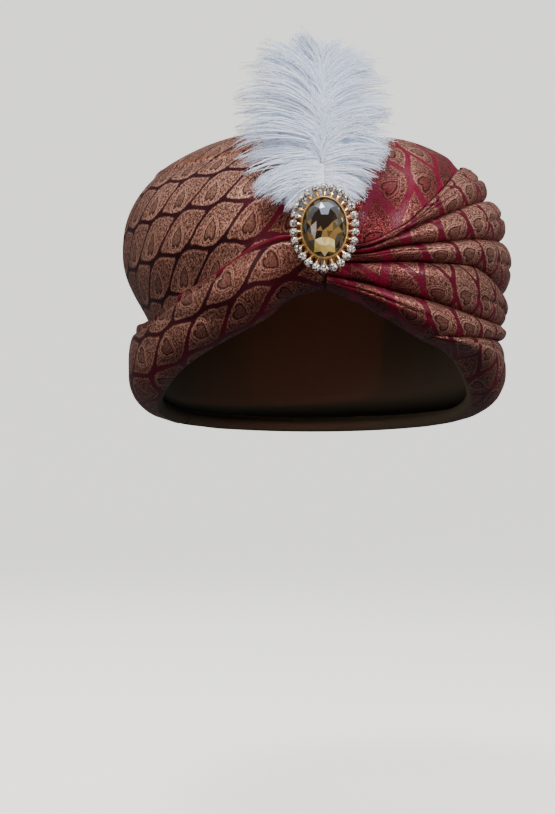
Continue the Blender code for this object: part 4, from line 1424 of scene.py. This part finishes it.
def cut_stone(name, rings, finish, shade_of):
    """The flat facets that wrap a few rings of corners. shade_of gives a facet's painted
    colour, the painted reflection that it shows.
    """
    bm = bmesh.new()
    for ring in rings:
        for point in ring:
            bm.verts.new(point)
    bmesh.ops.convex_hull(bm, input=bm.verts)
    bm.faces.ensure_lookup_table()
    colours = [shade_of(face.calc_center_median(), number) for number, face in enumerate(bm.faces)]
    made = finished(name, bm, finish)
    layer = made.data.attributes.new("facet", "FLOAT_COLOR", "CORNER")
    for polygon, colour in zip(made.data.polygons, colours):
        for corner in polygon.loop_indices:
            layer.data[corner].color = (*colour, 1.0)
    return made


def amber_tone_and_reflection(middle, number):
    """The honey glass's tones with painted reflections: cool grey near the top, dark brown
    in the middle, bright yellow low down.
    """
    x, y = middle.x / STONE_HALF[0], middle.y / STONE_HALF[1]
    far = math.hypot(x, y)
    if y < -0.36 and abs(x) < 0.46 and far < 0.9:
        return STONE_STRAW if number % 3 == 0 else STONE_YELLOW
    if far < 0.32:
        return STONE_DARK if y > -0.05 else STONE_AMBER
    if far < 0.58:
        if y > 0.2:
            return STONE_GREY if abs(x) < 0.2 else STONE_DARK
        return (STONE_AMBER, STONE_OLIVE)[number % 2] if x > 0 else STONE_DARK
    if far < 0.84:
        if y > 0.35:
            return STONE_GREY if abs(x) < 0.34 else STONE_SLATE
        return (STONE_AMBER, STONE_SLATE, STONE_DARK, STONE_OLIVE)[number % 4]
    return (STONE_OLIVE, STONE_DARK, STONE_SLATE)[number % 3]


# %% Large stone
STONE_FOOT = PLATE + METAL_GAP
STONE_ROWS = (
    # share of the half sizes, corners, height above its foot, turned by
    (0.90, 16, 0.0, 0.5),
    (1.00, 24, 0.0012, 0.0),
    (1.00, 24, 0.0024, 0.0),
    (0.86, 16, 0.0050, 0.5),
    (0.66, 16, 0.0070, 0.0),
    (0.42, 8, 0.0083, 0.5),
    (0.20, 6, 0.0086, 0.0),
)
rings = [oval_points((STONE_HALF[0] * s, STONE_HALF[1] * s), n, STONE_FOOT + z, turned)
         for s, n, z, turned in STONE_ROWS]
amber_stone = cut_stone("amber_stone", rings, AMBER, amber_tone_and_reflection)
dress(amber_stone, "centre_stone")
print("large stone's facets:", len(amber_stone.data.polygons))

# %% Small stones
# painted reflections and glints for the small stones' facets, from white to near black
GEM_SHADES = ((0.40, 0.43, 0.46), (0.15, 0.16, 0.17), (0.02, 0.022, 0.025), (0.70, 0.70, 0.68),
              (0.20, 0.17, 0.12))
GEM_ROWS = ((0.94, 8, 0.0, 0.0), (1.0, 12, 0.0004, 0.0), (0.82, 8, 0.0012, 0.5),
            (0.46, 8, 0.0017, 0.0), (0.0, 1, 0.00174, 0.0))
GEM_GROWTH = 1.22
gem_chance = np.random.default_rng(5)


def gem_painted_reflection(middle, number):
    """One of a clear stone's greys, by chance: a painted reflection or glint."""
    return GEM_SHADES[gem_chance.integers(len(GEM_SHADES))]


for number, (spot, out) in enumerate(even_oval(HALO_HALF, HALO_STONES, ARM_TOP + METAL_GAP), 1):
    rings = [[spot + p for p in oval_points((HALO_RADIUS * GEM_GROWTH * s,) * 2, n, z, turned)]
             for s, n, z, turned in GEM_ROWS]
    gem = cut_stone(f"halo_gem_{number:02d}", rings, CLEAR, gem_painted_reflection)
    dress(gem, f"halo_stone_{number:02d}")
print("stones:", 1 + HALO_STONES)

# %% [markdown]
# ## The plume
# A plume like this one has no closed vane. Its barbs are long, soft and separate, they spring
# from both sides of a thin white shaft, and each carries a fringe of finer barbules, which
# gives the fluffy edge. Low barbs hang outwards, middle ones run level and droop at the tip,
# and the top ones sweep up. Each barb here is a real thin spike that curves, with short
# spikes along it.

# %% Plume's shaft line
PLUME_HEIGHT, PLUME_BELOW, PLUME_SIDE, PLUME_LEAN, LEAN_POWER = 0.111, 0.017, -0.001, 0.016, 1.6
QUILL_RADIUS = 0.0011


def plume_spine(share):
    """The shaft's line in the brooch's frame: up behind the plate, then leaning back."""
    height = STONE_HALF[1] - PLUME_BELOW + PLUME_HEIGHT * share
    back = -METAL_GAP - QUILL_RADIUS - PLUME_LEAN * max(share, 0.0) ** LEAN_POWER
    return Vector((PLUME_SIDE, height, back))


print("plume's tip:", [round(x, 4) for x in brooch_frame @ plume_spine(1.0)])

# %% [markdown]
# Down is so thin that light passes through it and comes out on the shaded side as well. True
# translucency needs many light paths for hair this fine, so a faint cool glow stands in for
# it, with a little sheen for the fuzz.

# %% Plume's white
PLUME_COLOUR, PLUME_ROUGHNESS = (0.79, 0.88, 1.0), 0.8
PLUME_GLOW, PLUME_GLOW_STRENGTH = (0.40, 0.62, 1.0), 0.09
PLUME_WHITE, plume_shader = plain_material("plume", PLUME_COLOUR, PLUME_ROUGHNESS)
plume_shader.inputs["Sheen Weight"].default_value = 0.25
plume_shader.inputs["Specular IOR Level"].default_value = 0.1
plume_shader.inputs["Emission Color"].default_value = (*PLUME_GLOW, 1.0)
plume_shader.inputs["Emission Strength"].default_value = PLUME_GLOW_STRENGTH
print("plume's finish:", PLUME_WHITE.name)

# %% Spikes
SPIKE_CORNERS = ((-1.0, -0.35), (1.0, -0.35), (0.0, 0.75))


def spike(verts, faces, line, radii, lie):
    """A thin three-sided spike along a line of points, with a flat side towards lie."""
    first = len(verts)
    count = len(line)
    for k, (point, radius) in enumerate(zip(line, radii)):
        if k == count - 1:
            verts.append(tuple(point))
            break
        way = (line[k + 1] - point).normalized()
        side = way.cross(lie).normalized()
        over = side.cross(way)
        for across, up in SPIKE_CORNERS:
            verts.append(tuple(point + (side * across + over * up) * radius))
    faces.append((first, first + 2, first + 1))
    for k in range(count - 2):
        a, b = first + 3 * k, first + 3 * k + 3
        for m in range(3):
            n = (m + 1) % 3
            faces.append((a + m, a + n, b + n))
            faces.append((a + m, b + n, b + m))
    last, tip = first + 3 * (count - 2), first + 3 * (count - 1)
    for m in range(3):
        faces.append((last + m, last + (m + 1) % 3, tip))


# %% [markdown]
# One barb curves as a branch does that carries its own weight, and its fringe stands out at a
# small angle on both sides. Chance, with a fixed seed, keeps two of them from being alike and
# gives the same plume each time the script runs.

# %% Barbs
BARB_STEPS, BEND_POWER = 9, 1.25
BARB_RADIUS, BARB_TAPER = 0.00044, 0.60
BARBULES, BARBULE_RADIUS, BARBULE_LENGTH, BARBULE_ANGLE = 17, 0.00012, (0.0022, 0.0050), (18, 48)
chance = np.random.default_rng(7)


def barb_line(side, root, start, bend, length, rise):
    """A barb's line: it leaves the shaft at one angle and bends down steadily."""
    line = [root.copy()]
    step = length / BARB_STEPS
    for k in range(BARB_STEPS):
        t = (k + 0.5) / BARB_STEPS
        a = math.radians(start - bend * t ** BEND_POWER)
        way = Vector((side * math.cos(a), math.sin(a), rise * (1 - 1.1 * t)))
        line.append(line[-1] + way * step)
    return line


def add_barb(verts, faces, line, thick):
    """One barb with its fringe of barbules."""
    radii = [BARB_RADIUS * thick * (1 - BARB_TAPER * k / BARB_STEPS)
             for k in range(BARB_STEPS + 1)]
    spike(verts, faces, line, radii, UPWARD)
    for k in range(BARBULES):
        t = (k + chance.uniform(0.2, 0.8)) / BARBULES * 0.9 + 0.08
        low = min(int(t * BARB_STEPS), BARB_STEPS - 1)
        start = line[low].lerp(line[low + 1], t * BARB_STEPS - low)
        way = (line[low + 1] - line[low]).normalized()
        turn = chance.choice((-1, 1)) * chance.uniform(*BARBULE_ANGLE)
        way = Matrix.Rotation(math.radians(turn), 3, "Z") @ way
        way.z += chance.uniform(-0.35, 0.35)
        long = chance.uniform(*BARBULE_LENGTH) * (1 - 0.5 * t)
        spike(verts, faces, [start, start + way * long], [BARBULE_RADIUS, 0.0], UPWARD)


print("spikes in a barb:", 1 + BARBULES)

# %% [markdown]
# Barbs cling to each other in tufts. The barbs of a tuft are each drawn towards its leading
# barb, more so towards the tip, and some stay free as short down in front of the shaft.

# %% Tufts
VANE_COLUMNS = ("height", "half_width", "sweep")
VANE = (
    (0.00, 0.20, -34.0),
    (0.13, 0.46, -26.0),
    (0.28, 0.78, -12.0),
    (0.45, 1.00, 2.0),
    (0.60, 1.02, 18.0),
    (0.75, 0.93, 35.0),
    (0.88, 0.62, 54.0),
    (1.00, 0.20, 76.0),
)
PLUME_HALF_WIDTH, PLUME_SLIM_SIDE = 0.055, 0.81
TUFTS_A_SIDE, BARBS_A_TUFT = 92, 12
VANE_FROM, VANE_LENGTH = 0.10, 0.82
ARCH, UPPER_ARCH = 20.0, 12.0
TUFT_LENGTHS, TUFT_CHANCES = (1.06, 0.98, 0.86, 0.70), (0.3, 0.35, 0.2, 0.15)
DOWN_SHARE, DOWN_LENGTH, DOWN_FORWARD, DOWN_FROM = 0.16, 0.36, 0.0010, 0.3
UPPER_FORWARD, TUFT_DEPTH, CLING_POWER = 0.0014, 0.0006, 1.3
sweeps = column(VANE, VANE_COLUMNS, "sweep")
widths = column(VANE, VANE_COLUMNS, "half_width")


def vane_root(share):
    """Where on the shaft a barb of the vane springs."""
    return plume_spine(VANE_FROM + VANE_LENGTH * share)


def add_tuft(verts, faces, side, slim, share):
    """A tuft of barbs that cling together, springing at a share of the vane's height."""
    sweep = smooth_value(sweeps, share) + chance.normal(0, 7.0)
    full = PLUME_HALF_WIDTH * smooth_value(widths, share) * slim
    full *= chance.choice(TUFT_LENGTHS, p=TUFT_CHANCES)
    rise = chance.uniform(-0.08 - 0.18 * ease(0.4, 0.6, share), 0.36)
    arch = ARCH + UPPER_ARCH * ease(0.35, 0.65, share)
    bend = 2 * arch + chance.normal(4, 8)
    lead = barb_line(side, vane_root(share), sweep + arch, bend, full, rise)
    for barb in range(BARBS_A_TUFT):
        own = min(max(share + chance.normal(0, 0.022), 0.0), 1.0)
        forward = UPPER_FORWARD * ease(0.35, 0.6, own)
        root = vane_root(own) + Vector((chance.normal(0, 0.0006), 0, forward))
        start, long = sweep + arch + chance.normal(0, 9), full * chance.uniform(0.66, 1.05)
        drawn = chance.uniform(0.35, 0.92)
        if own > DOWN_FROM and chance.random() < DOWN_SHARE:
            start, long, drawn = chance.normal(76, 14), full * DOWN_LENGTH, 0.0
            root.z += DOWN_FORWARD
        line = barb_line(side, root, start, bend + chance.normal(0, 10), long, rise)
        for k in range(1, BARB_STEPS + 1):
            line[k] = line[k].lerp(lead[k], drawn * (k / BARB_STEPS) ** CLING_POWER)
            line[k].z += chance.normal(0, 0.00012) + TUFT_DEPTH * (barb / BARBS_A_TUFT - 0.5)
        add_barb(verts, faces, line, chance.uniform(0.8, 1.15))


print("barbs in the plume:", 2 * TUFTS_A_SIDE * BARBS_A_TUFT)

# %% Both sides of the plume
for side, slim, name in ((-1, 1.0, "plume_left"), (1, PLUME_SLIM_SIDE, "plume_right")):
    verts, faces = [], []
    for tuft in range(TUFTS_A_SIDE):
        add_tuft(verts, faces, side, slim, (tuft + chance.uniform(0.1, 0.9)) / TUFTS_A_SIDE)
    mesh = bpy.data.meshes.new(name)
    mesh.from_pydata(verts, [], faces)
    mesh.transform(brooch_frame)
    mesh.materials.append(PLUME_WHITE)
    dress(tidy_object(name, mesh), "plume")
    print(name, "triangles:", len(faces))

# %% [markdown]
# The shaft is a rod that follows the same line as the roots of the barbs. It starts behind the
# plate and thins out towards the tip, where the last barbs close over it.

# %% Plume's shaft
QUILL_TAIL, SHAFT_RINGS, SHAFT_SIDES, SHAFT_END, SHAFT_TAPER = 0.026, 24, 10, 0.97, 0.80
bm = bmesh.new()
tail = -QUILL_TAIL / PLUME_HEIGHT
shaft = []
for i in range(SHAFT_RINGS + 1):
    share = tail + (SHAFT_END - tail) * i / SHAFT_RINGS
    radius = QUILL_RADIUS * (1 - SHAFT_TAPER * ease(0.0, 0.8, share))
    shaft.append([plume_spine(share) + Vector((p.x, 0, p.y))
                  for p in oval_points((radius, radius), SHAFT_SIDES, 0.0)])
lofted(bm, shaft)
plume_shaft = finished("plume_shaft", bm, PLUME_WHITE, 60)
dress(plume_shaft, "plume")
print("shaft faces:", len(plume_shaft.data.polygons))
